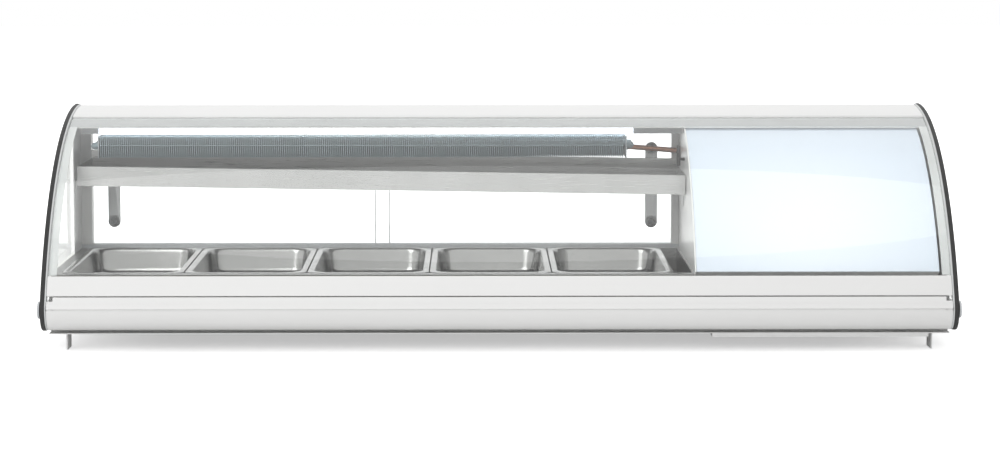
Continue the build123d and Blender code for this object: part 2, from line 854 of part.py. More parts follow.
def light_box_tray():
    """White reflector tray behind the diffuser."""
    top = angle_at_y(diffuser_inset, at(lip_front_depth + 8))
    low = angle_at_z(diffuser_inset, diffuser_bottom)
    outer_inset = diffuser_inset + diffuser_thickness + 0.1
    inner_inset = outer_inset + lightbox_depth
    x0 = divider_left + divider_thickness + 0.5
    edge = lightbox_sheet / (front_radius - inner_inset)
    body = prism(arc_band(outer_inset, inner_inset, top, low), x0, diffuser_right)
    core = arc_band(outer_inset - 1, inner_inset - lightbox_sheet, top + edge, low - edge)
    return body - prism(core, x0 + lightbox_sheet, diffuser_right - lightbox_sheet)


def light_box_leds():
    """Three light strips on the floor of the reflector tray."""
    top = angle_at_y(diffuser_inset, at(lip_front_depth + 8))
    low = angle_at_z(diffuser_inset, diffuser_bottom)
    inner = diffuser_inset + diffuser_thickness + 0.1 + lightbox_depth - lightbox_sheet
    half = led_strip_width / 2 / (front_radius - inner)
    x0 = divider_left + divider_thickness + 12
    strips = []
    for share in (0.15, 0.5, 0.85):
        a = top + (low - top) * share
        band = arc_band(inner - led_strip_height, inner, a - half, a + half)
        strips.append(prism(band, x0, diffuser_right - 12))
    return strips


def compressor():
    """Hermetic compressor: drawn shell of two domes on a foot plate."""
    r = compressor_diameter / 2
    low = base_bottom - machine_tray_drop + sheet + mount_height
    top = low + compressor_height
    x, y = compressor_x, at(compressor_depth)
    body = rod(x, y, low + 3, r, compressor_height - 3, "z")
    body = fillet(body.edges().filter_by(GeomType.CIRCLE).sort_by(Axis.Z)[-1:], r * 0.45)
    seam = rod(x, y, (low + top) / 2, r + 2.5, 5, "z")
    half = compressor_foot_spread / 2
    plate = block(x - half, x + half, y - 34, y + 34, low, low + 3)
    stub = rod(x + r * 0.3, y - r * 0.2, top - 10, 5, 18, "z")
    return body + seam + plate + stub


def compressor_mounts():
    """Rubber buffers under the compressor's foot plate."""
    low = base_bottom - machine_tray_drop + sheet
    half = compressor_foot_spread / 2 - 12
    x, y = compressor_x, at(compressor_depth)
    return [rod(x + i * half, y + j * 24, low, 9, mount_height, "z")
            for i in (-1, 1) for j in (-1, 1)]


def condenser_coil():
    """Finned block with its tube ends, on the machine floor."""
    x0, y0, z0 = condenser_left, at(condenser_front), condenser_bottom
    x1 = x0 + condenser_width
    core = block(x0 + 4, x1 - 4, y0, y0 + condenser_thick, z0, z0 + condenser_height)
    step = condenser_height / condenser_tubes
    for i in range(condenser_tubes):
        z = z0 + step * (i + 0.5)
        core += rod(x0 - 6, y0 + condenser_thick / 2, z, 4, condenser_width + 12, "x")
    low = base_bottom - machine_tray_drop + sheet
    legs = block(x0, x0 + 4, y0, y0 + condenser_thick, low, z0 + condenser_height)
    legs += block(x1 - 4, x1, y0, y0 + condenser_thick, low, z0 + condenser_height)
    return core + legs


def fan_centre():
    return (condenser_left + condenser_width / 2, at(condenser_front - shroud_thick),
            condenser_bottom + condenser_height / 2)


def fan_shroud():
    """Plate shroud with a round throat in front of the condenser."""
    x, y, z = fan_centre()
    box = block(condenser_left, condenser_left + condenser_width, y, at(condenser_front),
                condenser_bottom, condenser_bottom + condenser_height)
    cavity = block(condenser_left + 2, condenser_left + condenser_width - 2, y + 2,
                   at(condenser_front) + 1, condenser_bottom + 2,
                   condenser_bottom + condenser_height - 2)
    throat = rod(x, y - 1, z, fan_diameter / 2 + fan_tip_clearance, 5, "y")
    shell = box - cavity - throat
    ring_y = y - 14
    ring = rod(x, ring_y, z, fan_diameter / 2 + fan_tip_clearance + 2, y - ring_y + 1, "y")
    ring -= rod(x, ring_y - 1, z, fan_diameter / 2 + fan_tip_clearance, y - ring_y + 3, "y")
    return shell + ring


def fan_motor():
    """Fan motor on its three-armed bracket, with the shaft's bore."""
    x, y, z = fan_centre()
    front = y - 14 - 12
    body = rod(x, front - motor_length, z, motor_diameter / 2, motor_length, "y")
    body = fillet(body.edges().filter_by(GeomType.CIRCLE).sort_by(Axis.Y)[:1], 6)
    for turn in (90, 210, 330):
        c = math.cos(math.radians(turn))
        s = math.sin(math.radians(turn))
        reach = fan_diameter / 2 + fan_tip_clearance + 1
        arm_mid = (motor_diameter / 2 - 2 + reach) / 2
        arm_len = reach - motor_diameter / 2 + 2
        arm = Box(arm_len, 3, 8)
        body += Pos(x + c * arm_mid, front - 4, z + s * arm_mid) * Rot(0, -turn, 0) * arm
        body += block(x + c * reach - 4, x + c * reach + 4, front - 5.5, y - 14,
                      z + s * reach - 4, z + s * reach + 4) \
            - rod(x, front - 20, z, fan_diameter / 2 + fan_tip_clearance - 1, 60, "y")
    bore = shaft_diameter / 2 + 0.05
    return body - rod(x, front - motor_length + 8, z, bore, motor_length, "y")


def fan_rotor():
    """Fan with twisted blades on its hub and shaft."""
    x, y, z = fan_centre()
    front = y - 14 - 12
    hub_r = fan_hub_diameter / 2
    hub_y = front + 4
    hub = rod(x, hub_y, z, hub_r, 20, "y")
    shaft = rod(x, front - motor_length + 12, z, shaft_diameter / 2, motor_length, "y")
    rotor = hub + shaft
    for i in range(fan_blades):
        blade = fan_blade(hub_r)
        rotor += Pos(x, hub_y + 10, z) * Rot(0, i * 360 / fan_blades, 0) * blade
    return rotor


def fan_blade(hub_r):
    """One blade, lofted from a steep root to a flat tip, reaching along +X."""
    root = Plane(origin=(hub_r - 3, 0, 0), z_dir=(1, 0, 0), x_dir=(0, 0, 1)) * Rot(0, 0, 38) \
        * Rectangle(fan_blade_width * 1.1, 2)
    tip = Plane(origin=(fan_diameter / 2, 0, 0), z_dir=(1, 0, 0), x_dir=(0, 0, 1)) \
        * Rot(0, 0, 22) * Rectangle(fan_blade_width * 1.9, 1.4)
    return loft([root.face(), tip.face()], ruled=True)


def filter_drier():
    """Copper filter with necked ends, clipped to the divider."""
    wall = divider_left + divider_thickness
    radius = 10
    x, y, z = wall + radius + 2, at(compressor_depth + 90), 60.0
    body = rod(x, y, z, radius, 70, "z")
    body = fillet(body.edges().filter_by(GeomType.CIRCLE), 6)
    clip = block(wall, x, y - 5, y + 5, z + 30, z + 38)
    return body + rod(x, y, z - 12, 3, 94, "z") + clip


def refrigerant_pipes():
    """Discharge pipe to the condenser and suction pipe back from the evaporator."""
    top = base_bottom - machine_tray_drop + sheet + mount_height + compressor_height + 8
    x, y = compressor_x + compressor_diameter / 2 * 0.3, at(compressor_depth) - compressor_diameter * 0.1
    end_x = condenser_left - 6
    end_y = at(condenser_front) + condenser_thick / 2
    end_z = condenser_bottom + condenser_height * (condenser_tubes - 0.5) / condenser_tubes
    points = [(x, y, top), (x, y, top + 22), (x + 34, y + 30, top + 22),
              (end_x - 22, end_y, top + 10), (end_x - 22, end_y, end_z), (end_x, end_y, end_z)]
    discharge = bent_tube(points, 3.0, 7.0)
    places = tube_places()
    y_in, z_in = places[-1]
    wall = divider_left + divider_thickness
    reach = coil_right + 9.0
    down_x = wall + 28
    shell_x = compressor_x - compressor_diameter / 2
    port_y, port_z = at(compressor_depth), 120.0
    suction = bent_tube([(reach, y_in, z_in), (down_x, y_in, z_in), (down_x, y_in, port_z),
                         (down_x, port_y, port_z), (shell_x, port_y, port_z)], 4.0, 9.0)
    return [discharge, suction]


def bent_tube(points, radius, bend):
    """Pipe along straight runs joined by round bends."""
    path = FilletPolyline(*points, radius=bend)
    start = Plane(origin=points[0], z_dir=tuple(b - a for a, b in zip(points[0], points[1])))
    return sweep(start * Circle(radius), path=path)


def divider_wall():
    """Divider wall with the passage for the suction pipe."""
    y_in, z_in = tube_places()[-1]
    hole = rod(divider_left - 5, y_in, z_in, 4.5, divider_thickness + 10, "x")
    return divider_sheet() - hole


def temperature_probe():
    """Probe clipped to the divider in the cold chamber."""
    x = divider_left - 9
    y, z = at(coil_front - 8), coil_bottom - 12
    probe = rod(x, y, z, 3, 30, "z")
    clip = block(x, divider_left, y - 4, y + 4, z + 8, z + 12) - rod(x, y, z - 1, 3, 40, "z")
    return [probe, clip]


def machine_side_panel():
    """White inner panel behind the right-hand side pane."""
    plate = prism(side_outline(divider_inset + 4), inner_half - 2 - sheet, inner_half - 2)
    plate -= block(0, case_width, at(0), at(base_front) + sheet, 0, rail_top + 3)
    plate -= block(0, case_width, at(rail_front - 1), at(case_depth) + 1, 0, case_height)
    plate -= block(0, case_width, at(0), at(case_depth), 0, base_bottom + sheet)
    return plate


def rear_grille():
    """Rear cover of the machine compartment with air slots and the control cut-out."""
    x0 = divider_left + divider_thickness + 0.3
    x1 = inner_half
    top = rear_ceiling(rail_front) - 1
    y0 = at(base_back) + 0.3
    panel = block(x0, x1, y0, y0 + sheet, base_bottom + 3, top)
    slot_left = condenser_left
    slot_right = condenser_left + condenser_width
    for i in range(louvre_count):
        z = condenser_bottom + 12 + i * louvre_pitch
        panel -= block(slot_left, slot_right, y0 - 1, y0 + 2 * sheet, z, z + louvre_height)
    cut = 6
    panel -= block(control_left + cut, control_left + control_width - cut, y0 - 1, y0 + 2 * sheet,
                   control_bottom + cut, control_bottom + control_height - cut)
    panel -= rod(gland_x(), y0 - 1, gland_z(), gland_diameter / 2 + 0.2, 5, "y")
    return panel


def gland_x():
    return control_left + control_width / 2


def gland_z():
    return base_rear_height + 18


def cable_gland():
    """Bushing where the supply lead leaves the case."""
    y0 = at(base_back) + 0.3
    neck = rod(gland_x(), y0 - 6, gland_z(), gland_diameter / 2, sheet + 6, "y")
    flange = rod(gland_x(), y0 + sheet, gland_z(), gland_diameter / 2 + 3, 2.5, "y")
    nut = rod(gland_x(), y0 - 6, gland_z(), gland_diameter / 2 + 3, 5.8, "y")
    return neck + flange + nut - rod(gland_x(), y0 - 20, gland_z(), 4, 60, "y")


def control_y():
    """Rear face of the control plate."""
    return at(base_back) + 0.3 + sheet + 1.5


def rocker_x(index):
    return control_left + control_width - 24 - index * (rocker_width + 10)


def control_z():
    return control_bottom + control_height / 2


def key_x(index):
    return control_left + (14 if index == 0 else 58)


def key_z(index):
    return control_z() + (0, 9, -9)[index]


def control_panel():
    """Plate on the rear cover with openings for the rockers and the thermostat."""
    y1 = control_y()
    plate = block(control_left, control_left + control_width, y1 - 1.5, y1,
                  control_bottom, control_bottom + control_height)
    for index in range(2):
        x = rocker_x(index)
        plate -= block(x - rocker_width / 2 - 2, x + rocker_width / 2 + 2, y1 - 3, y1 + 1,
                       control_z() - rocker_height / 2 - 2, control_z() + rocker_height / 2 + 2)
    x = control_left + 36
    return plate - block(x - 30, x + 30, y1 - 3, y1 + 1, control_z() - 15, control_z() + 15)


def thermostat_body():
    """Electronic thermostat with bores for its keys."""
    y1 = control_y()
    x = control_left + 36
    body = block(x - 29.6, x + 29.6, y1 - 26, y1 + 1.0, control_z() - 14.6, control_z() + 14.6)
    body -= block(x - 14, x + 14, y1 + 0.4, y1 + 2, control_z() - 9, control_z() + 9)
    for index in range(key_count):
        body -= rod(key_x(index), y1 - 4, key_z(index), key_diameter / 2 + 0.3, 8, "y")
    return body


def thermostat_key(index):
    y1 = control_y()
    return rod(key_x(index), y1 - 4 + key_travel + 0.4, key_z(index), key_diameter / 2,
               4.0 - key_travel + 1.4, "y")


def switch_bodies():
    """Housings of the two rocker switches."""
    y1 = control_y()
    bodies = []
    for index in range(2):
        x = rocker_x(index)
        shell = block(x - rocker_width / 2 - 1.8, x + rocker_width / 2 + 1.8, y1 - 22, y1 + 0.8,
                      control_z() - rocker_height / 2 - 1.8, control_z() + rocker_height / 2 + 1.8)
        shell -= block(x - rocker_width / 2 - rocker_gap, x + rocker_width / 2 + rocker_gap,
                       y1 - 12, y1 + 2, control_z() - rocker_height / 2 - rocker_gap,
                       control_z() + rocker_height / 2 + rocker_gap)
        bodies.append(shell)
    return bodies


def rocker(index):
    """Rocker cap, its face bent about the pivot line."""
    y1 = control_y()
    x = rocker_x(index)
    half = rocker_height / 2 - rocker_turn_room
    z = control_z()
    profile = make_face(Polyline((y1 - 6, z - half), (y1 - 1.0, z - half), (y1 + 0.4, z),
                                 (y1 + 2.6, z + half), (y1 - 6, z + half), close=True))
    return prism(profile, x - rocker_width / 2, x + rocker_width / 2)


def write(name, shape):
    """Write one piece, or a group of like pieces, to its own file."""
    if isinstance(shape, (list, tuple)):
        shape = Compound(children=list(shape))
    shape.label = name
    export_step(shape, f"parts/{name}.step")


def main():
    os.makedirs("parts", exist_ok=True)
    right_glass = side_glass()
    pieces = {
        "base_tray": base_tray(),
        "machine_floor": machine_floor(),
        "feet": feet(),
        "insulation": insulation(),
        "well_liner": well_liner(),
        "drain_spigot": drain_spigot(),
        "front_bumper": front_bumper(),
        "side_glass_left": mirror(right_glass, about=Plane.YZ),
        "side_glass_right": right_glass,
        "edge_trims": both_sides(edge_trim()),
        "pivot_bushes": both_sides(pivot_bush()),
        "pivot_pins": both_sides(pivot_pin()),
        "glass_rail": glass_rail(),
        "front_glass": front_glass(),
        "glass_end_seals": both_sides(glass_end_seal()),
        "top_panel": top_panel(),
        "divider_wall": divider_wall(),
        "rear_post_left": rear_post_left(),
        "rear_post_right": rear_post_right(),
        "door_sill": door_sill(),
        "door_top_rail": door_top_rail(),
        "door_left": door("left"),
        "door_right": door("right"),
        "door_left_handle": door_handle("left"),
        "door_right_handle": door_handle("right"),
        "lamp_housing": lamp_housing(),
        "lamp_diffuser": lamp_diffuser(),
        "evaporator_fins": evaporator_fins(),
        "evaporator_tubes": evaporator_tubes(),
        "evaporator_end_plates": evaporator_end_plates(),
        "drip_tray": drip_tray(),
        "tray_brackets": tray_brackets(),
        "light_box_diffuser": light_box_diffuser(),
        "light_box_tray": light_box_tray(),
        "led_strips": [lamp_leds()] + light_box_leds(),
        "compressor": compressor(),
        "compressor_mounts": compressor_mounts(),
        "condenser_coil": condenser_coil(),
        "fan_shroud": fan_shroud(),
        "fan_motor": fan_motor(),
        "fan_rotor": fan_rotor(),
        "filter_drier": filter_drier(),
        "refrigerant_pipes": refrigerant_pipes(),
        "temperature_probe": temperature_probe(),
        "machine_side_panel": machine_side_panel(),
        "rear_grille": rear_grille(),
        "cable_gland": cable_gland(),
        "control_panel": control_panel(),
        "thermostat_body": thermostat_body(),
        "switch_bodies": switch_bodies(),
        "rocker_main": rocker(0),
        "rocker_light": rocker(1),
    }
    for index in range(key_count):
        pieces[f"thermostat_key_{index + 1}"] = thermostat_key(index)
    for index in range(pan_count):
        pieces[f"pan_{index + 1}"] = pan(index)
    for name, shape in pieces.items():
        write(name, shape)


if __name__ == "__main__":
    main()
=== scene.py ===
import math

import bmesh
import bpy
from mathutils import Matrix, Vector


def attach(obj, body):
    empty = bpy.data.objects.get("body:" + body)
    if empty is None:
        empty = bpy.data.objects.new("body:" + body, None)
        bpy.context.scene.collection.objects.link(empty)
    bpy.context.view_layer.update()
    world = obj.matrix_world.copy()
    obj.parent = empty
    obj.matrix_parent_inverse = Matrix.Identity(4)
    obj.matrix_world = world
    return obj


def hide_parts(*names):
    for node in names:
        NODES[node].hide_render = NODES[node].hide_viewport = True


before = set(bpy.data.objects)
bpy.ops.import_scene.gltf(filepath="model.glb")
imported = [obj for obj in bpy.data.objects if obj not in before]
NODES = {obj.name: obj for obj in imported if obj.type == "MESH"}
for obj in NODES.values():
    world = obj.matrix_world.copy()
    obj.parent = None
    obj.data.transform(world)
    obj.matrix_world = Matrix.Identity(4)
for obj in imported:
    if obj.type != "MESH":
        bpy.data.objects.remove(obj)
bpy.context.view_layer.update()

bl_info = {
    "name": "Display Case Visuals",
    "version": (1, 0, 0),
    "blender": (4, 5, 0),
    "location": "3D View > Sidebar > Display Case",
    "description": "Detailed glass, panels, pans, coil and stage of a counter display case",
    "category": "Object",
}

MM = 0.001

# Outline of the side panels, in millimetres; Y is 0 in the middle of the depth.
FRONT_Y = -206.0
CASE_HEIGHT = 334.0
BIG_R = 438.0
NOSE_R = 30.0
ARC_Z = CASE_HEIGHT - BIG_R
NOSE_Z = 60.0
NOSE_Y = FRONT_Y + NOSE_R
ARC_Y = NOSE_Y + math.sqrt((BIG_R - NOSE_R) ** 2 - (NOSE_Z - ARC_Z) ** 2)
TANGENT = math.asin((ARC_Y - NOSE_Y) / (BIG_R - NOSE_R))
INNER_HALF = 650.6
HALF_WIDTH = 660.0
PIVOT_Y = FRONT_Y + 14.0
PIVOT_Z = 62.0
RAIL_INSET = 1.0
BUMPER_BACK = 44.0
NOSE_STEPS = 24


def at(depth):
    """Y of a place measured back from the front edge, in millimetres."""
    return FRONT_Y + depth


def on_arc(inset, angle):
    """(Y, Z) on the big arc, set in by inset, at an angle forward from its top."""
    r = BIG_R - inset
    return (ARC_Y - r * math.sin(angle), ARC_Z + r * math.cos(angle))


def angle_at_y(inset, y):
    return math.asin((ARC_Y - y) / (BIG_R - inset))


def angle_at_z(inset, z):
    return math.acos((z - ARC_Z) / (BIG_R - inset))


def arc_run(inset, start, end, steps):
    """Points of the big arc from one angle to another."""
    return [on_arc(inset, start + (end - start) * i / steps) for i in range(steps + 1)]


def nose_run(inset, steps):
    """Points round the lower front corner, from the big arc to the underside."""
    r = NOSE_R - inset
    angles = [TANGENT + (math.pi - TANGENT) * i / steps for i in range(steps + 1)]
    return [(NOSE_Y - r * math.sin(a), NOSE_Z + r * math.cos(a)) for a in angles]


# Mesh helpers

def build(bm, name, finish, body, bevel=0.0, smooth=20.0, replaces=()):
    """Turn a bmesh in millimetres into a dressed piece that rides on its body."""
    bmesh.ops.remove_doubles(bm, verts=bm.verts, dist=1e-4)
    bmesh.ops.recalc_face_normals(bm, faces=bm.faces)
    if bevel:
        least = math.radians(50)
        sharp = [e for e in bm.edges if e.is_manifold and e.calc_face_angle(0.0) > least]
        bmesh.ops.bevel(bm, geom=sharp, offset=bevel, segments=2, profile=0.5,
                        affect="EDGES", clamp_overlap=True)
    bmesh.ops.scale(bm, vec=(MM, MM, MM), verts=bm.verts)
    mesh = bpy.data.meshes.new(name)
    bm.to_mesh(mesh)
    bm.free()
    mesh.shade_smooth()
    mesh.set_sharp_from_angle(angle=math.radians(smooth))
    mesh.materials.append(material(finish))
    piece = bpy.data.objects.new(name, mesh)
    bpy.context.scene.collection.objects.link(piece)
    if body is not None:
        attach(piece, body)
        if replaces:
            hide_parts(*replaces)
    return piece


def add_loft(bm, rings):
    """Skin through rings of equal length, with a face over each end."""
    loops = [[bm.verts.new(p) for p in ring] for ring in rings]
    for near, far in zip(loops, loops[1:]):
        for i in range(len(near)):
            j = (i + 1) % len(near)
            bm.faces.new((near[i], near[j], far[j], far[i]))
    bm.faces.new(list(reversed(loops[0])))
    bm.faces.new(loops[-1])


def add_prism(bm, section, x0, x1):
    """Closed (Y, Z) section pulled along X."""
    add_loft(bm, [[(x, y, z) for y, z in section] for x in (x0, x1)])


def add_plate(bm, section, y0, y1):
    """Closed (X, Z) section pulled along Y."""
    add_loft(bm, [[(x, y, z) for x, z in section] for y in (y0, y1)])


def add_box(bm, low, high):
    add_prism(bm, [(low[1], low[2]), (high[1], low[2]), (high[1], high[2]), (low[1], high[2])],
              low[0], high[0])


def add_tube(bm, path, radius, sides=16):
    """Round tube along a path of points, its ring carried along without twisting."""
    points = [Vector(p) for p in path]
    steps = [(b - a).normalized() for a, b in zip(points, points[1:])]
    normal = steps[0].orthogonal().normalized()
    rings = []
    for i, point in enumerate(points):
        before = steps[max(i - 1, 0)]
        after = steps[min(i, len(steps) - 1)]
        along = (before + after).normalized()
        normal = (normal - along * normal.dot(along)).normalized()
        across = along.cross(normal)
        turns = [2 * math.pi * k / sides for k in range(sides)]
        rings.append([point + (normal * math.cos(t) + across * math.sin(t)) * radius
                      for t in turns])
    add_loft(bm, rings)


def round_corners(points, radius, steps=8):
    """Straight runs joined by round bends."""
    points = [Vector(p) for p in points]
    path = [points[0]]
    for before, corner, after in zip(points, points[1:], points[2:]):
        to_start = (before - corner).normalized()
        to_end = (after - corner).normalized()
        half = to_start.angle(to_end) / 2
        reach = min(radius / math.tan(half), (before - corner).length / 2,
                    (after - corner).length / 2)
        centre = corner + (to_start + to_end).normalized() * reach / math.cos(half)
        a, b = corner + to_start * reach - centre, corner + to_end * reach - centre
        for i in range(steps + 1):
            path.append(centre + a.slerp(b, i / steps))
    return path + [points[-1]]


def add_lathe(bm, profile, centre, axis, sides=40):
    """Revolve (radius, height) points about an axis through centre."""
    turn = Vector((0, 0, 1)).rotation_difference(Vector(axis)).to_matrix().to_4x4()
    place = Matrix.Translation(centre) @ turn
    rings = []
    for radius, height in profile:
        angles = [2 * math.pi * k / sides for k in range(sides)]
        rings.append([place @ Vector((radius * math.cos(a), radius * math.sin(a), height))
                      for a in angles])
    add_loft(bm, rings)


def rounded_rectangle(half_x, half_y, radius, z, steps=8):
    """Ring of points round a level rectangle with rounded corners."""
    ring = []
    for quarter, (sx, sy) in enumerate(((1, 1), (-1, 1), (-1, -1), (1, -1))):
        cx, cy = sx * (half_x - radius), sy * (half_y - radius)
        for i in range(steps + 1):
            a = math.pi / 2 * (quarter + i / steps)
            ring.append((cx + radius * math.cos(a), cy + radius * math.sin(a), z))
    return ring


def stadium(x, z_low, z_high, half_width, steps=12):
    """Round-ended upright strap outline in X and Z."""
    points = []
    for centre, start in ((z_high - half_width, 0.0), (z_low + half_width, math.pi)):
        for i in range(steps + 1):
            a = start + math.pi * i / steps
            points.append((x + half_width * math.cos(a), centre + half_width * math.sin(a)))
    return points


# Materials

def linear(colour):
    """sRGB hex string to a linear colour with alpha."""
    values = [int(colour[i:i + 2], 16) / 255 for i in (1, 3, 5)]
    return tuple(v / 12.92 if v <= 0.04045 else ((v + 0.055) / 1.055) ** 2.4
                 for v in values) + (1.0,)


def add_node(tree, kind, values=None, links=None, **settings):
    """Add a node with its settings, its socket values and the links into it."""
    node = tree.nodes.new(kind)
    for name, value in settings.items():
        setattr(node, name, value)
    for socket, value in (values or {}).items():
        node.inputs[socket].default_value = value
    for socket, source in (links or {}).items():
        tree.links.new(source, node.inputs[socket])
    return node


def begin(name, metallic=0.0, ior=1.5):
    """New material with its tree, its shader and the piece's own coordinates in metres."""
    made = bpy.data.materials.new(name)
    made.use_nodes = True
    tree = made.node_tree
    shader = tree.nodes["Principled BSDF"]
    shader.inputs["Metallic"].default_value = metallic
    if not metallic:
        shader.inputs["IOR"].default_value = ior
    place = add_node(tree, "ShaderNodeTexCoord").outputs["Object"]
    return made, tree, shader, place


def clouds(tree, place, grain_mm, detail=2.0, stretch=(1, 1, 1)):
    """Soft random pattern whose grains are about grain_mm across, stretched along an axis."""
    scale = tuple(1.0 / (grain_mm * MM) / s for s in stretch)
    spread = add_node(tree, "ShaderNodeMapping", {"Scale": scale}, {"Vector": place})
    noise = add_node(tree, "ShaderNodeTexNoise", {"Scale": 1.0, "Detail": detail},
                     {"Vector": spread.outputs["Vector"]})
    return noise.outputs["Fac"]


def tint(tree, shader, pattern, dark, light, socket="Base Color"):
    """Colour that goes from dark to light with a pattern."""
    mix = add_node(tree, "ShaderNodeMix", {6: linear(dark), 7: linear(light)}, {0: pattern},
                   data_type="RGBA")
    tree.links.new(mix.outputs[2], shader.inputs[socket])


def polish(tree, shader, pattern, low, high):
    """Roughness that goes from low to high with a pattern."""
    span = add_node(tree, "ShaderNodeMapRange",
                    {"From Min": 0.3, "From Max": 0.7, "To Min": low, "To Max": high},
                    {"Value": pattern})
    tree.links.new(span.outputs["Result"], shader.inputs["Roughness"])


def relief(tree, shader, pattern, depth_mm, strength):
    """Fine relief of a real depth."""
    bump = add_node(tree, "ShaderNodeBump", {"Strength": strength, "Distance": depth_mm * MM},
                    {"Height": pattern})
    tree.links.new(bump.outputs["Normal"], shader.inputs["Normal"])


def coated_sheet(name, dark, light, rough, peel_mm=4.0):
    """Even coat whose shade and gloss drift a little, with a faint orange peel."""
    made, tree, shader, place = begin(name)
    tint(tree, shader, clouds(tree, place, 180.0), dark, light)
    polish(tree, shader, clouds(tree, place, 60.0), rough - 0.02, rough + 0.03)
    relief(tree, shader, clouds(tree, place, peel_mm), 0.01, 0.05)
    return made


def powder_coated_steel():
    # Powder coated sheet steel, baked: satin white with a faint orange peel. The peel is
    # about 1 mm across and is drawn at 4 mm so that it shows.
    return coated_sheet("powder_coated_steel", "#e6e6e5", "#eaeae9", 0.3)


def grey_powder_coated_steel():
    # Powder coated sheet steel in mid grey, a little duller than the white.
    return coated_sheet("grey_powder_coated_steel", "#8e9193", "#9b9ea0", 0.42)


def black_enamelled_steel():
    # Stoved enamel on a drawn steel shell: nearly black, with a soft gloss.
    return coated_sheet("black_enamelled_steel", "#151515", "#232323", 0.3)


def grained_metal(name, dark, light, low, high, stretch, grain_mm=0.8):
    """Bare metal with a fine grain drawn out by the stretch along each axis."""
    made, tree, shader, place = begin(name, metallic=1.0)
    grain = clouds(tree, place, grain_mm, 3.0, stretch)
    tint(tree, shader, clouds(tree, place, 120.0), dark, light)
    polish(tree, shader, grain, low, high)
    relief(tree, shader, grain, 0.004, 0.1)
    return made


def brushed_stainless_steel():
    # Stainless sheet, brushed lengthways: long hair lines 0.1 mm apart, drawn at 0.8 mm.
    return grained_metal("brushed_stainless_steel", "#a6a6a5", "#bababa", 0.26, 0.36,
                         (60, 1, 1))


def drawn_stainless_steel():
    # Deep drawn stainless, polished: smooth soft reflections with faint broad buffing marks.
    made, tree, shader, place = begin("drawn_stainless_steel", metallic=1.0)
    tint(tree, shader, clouds(tree, place, 120.0), "#a3a3a2", "#b4b4b3")
    polish(tree, shader, clouds(tree, place, 30.0), 0.17, 0.24)
    return made


def anodised_aluminium():
    # Extruded aluminium, satin anodised: pale, with die lines along its length that are finer
    # than the 0.8 mm at which they are drawn.
    return grained_metal("anodised_aluminium", "#bfc2c5", "#d2d5d7", 0.3, 0.42, (80, 1, 1))


def grey_painted_aluminium():
    # Aluminium extrusion with a thin satin grey coat.
    return coated_sheet("grey_painted_aluminium", "#85888a", "#93969a", 0.4)


def epoxy_coated_aluminium_fin():
    # Rolled aluminium fin stock with a thin blue-grey epoxy coat: even and dull.
    return coated_sheet("epoxy_coated_aluminium_fin", "#84959c", "#93a4aa", 0.5)


def drawn_copper_tube():
    # Drawn copper tube with a thin brown oxide in patches.
    made, tree, shader, place = begin("drawn_copper_tube", metallic=1.0)
    patches = clouds(tree, place, 14.0, 4.0)
    tint(tree, shader, patches, "#9a5b3c", "#cf9270")
    polish(tree, shader, patches, 0.24, 0.45)
    return made


def galvanised_steel():
    # Hot dipped sheet: crystal spangles about 8 mm across in two greys.
    made, tree, shader, place = begin("galvanised_steel", metallic=1.0)
    spangle_mm = 8.0
    spangle = add_node(tree, "ShaderNodeTexVoronoi", {"Scale": 1.0 / (spangle_mm * MM)},
                       {"Vector": place})
    shade = add_node(tree, "ShaderNodeSeparateColor", None, {"Color": spangle.outputs["Color"]})
    tint(tree, shader, shade.outputs["Red"], "#9ba1a4", "#bcc1c4")
    polish(tree, shader, shade.outputs["Green"], 0.36, 0.5)
    return made


def clear_sheet(name, colour, ior):
    """Clear sheet that lets the lamps' light through instead of casting a full shadow."""
    made, tree, shader, place = begin(name, ior=ior)
    shader.inputs["Base Color"].default_value = linear(colour)
    shader.inputs["Transmission Weight"].default_value = 1.0
    polish(tree, shader, clouds(tree, place, 90.0, 3.0), 0.0, 0.015)
    path = add_node(tree, "ShaderNodeLightPath")
    through = add_node(tree, "ShaderNodeBsdfTransparent", {"Color": linear(colour)})
    mix = add_node(tree, "ShaderNodeMixShader", None,
                   {0: path.outputs["Is Shadow Ray"], 1: shader.outputs["BSDF"],
                    2: through.outputs["BSDF"]})
    output = tree.nodes["Material Output"]
    tree.links.new(mix.outputs["Shader"], output.inputs["Surface"])
    return made


def tempered_float_glass():
    # Float glass, tempered: clear, faintly green, with barely visible wiping marks. The IOR is
    # a little under the usual 1.52, which keeps its reflection of the room as pale as seen.
    return clear_sheet("tempered_float_glass", "#fdfefd", 1.46)


def clear_acrylic_sheet():
    # Cast acrylic sheet: clear and neutral, polished edges.
    return clear_sheet("clear_acrylic_sheet", "#fdfefe", 1.49)


def moulded(name, dark, light, rough, grain_mm=1.5):
    """Plastic or rubber from a mould or die, with the fine grain of its tool."""
    made, tree, shader, place = begin(name, ior=1.53)
    grain = clouds(tree, place, grain_mm, 3.0)
    tint(tree, shader, clouds(tree, place, 40.0), dark, light)
    polish(tree, shader, clouds(tree, place, 25.0), rough - 0.06, rough + 0.08)
    relief(tree, shader, grain, 0.05, 0.25)
    return made


def extruded_epdm_rubber():
    # Extruded rubber profile: matt near-black with a little pale bloom.
    return moulded("extruded_epdm_rubber", "#1f1f1f", "#323232", 0.56)


def soft_pvc_seal():
    # Soft extruded vinyl strip: milky light grey and dull.
    return moulded("soft_pvc_seal", "#c6c8c8", "#d6d8d8", 0.5)


def painted_edge_highlight():
    # Flame polished edge of an acrylic pane, with a painted highlight: the light that the edge
    # catches is painted into its colour as a pale grey line.
    return moulded("painted_edge_highlight", "#dcdfe0", "#e4e7e8", 0.3)


def grey_lip_strip():
    # Thin strip laid on the lip under the glass's top edge: mid grey and matt, so that the lip
    # reads mid grey.
    return moulded("grey_lip_strip", "#a6a8a9", "#b0b2b3", 0.6)


def moulded_grey_abs():
    # Injection moulded ABS with a fine spark texture, light grey.
    return moulded("moulded_grey_abs", "#d8d9da", "#e4e5e6", 0.42)


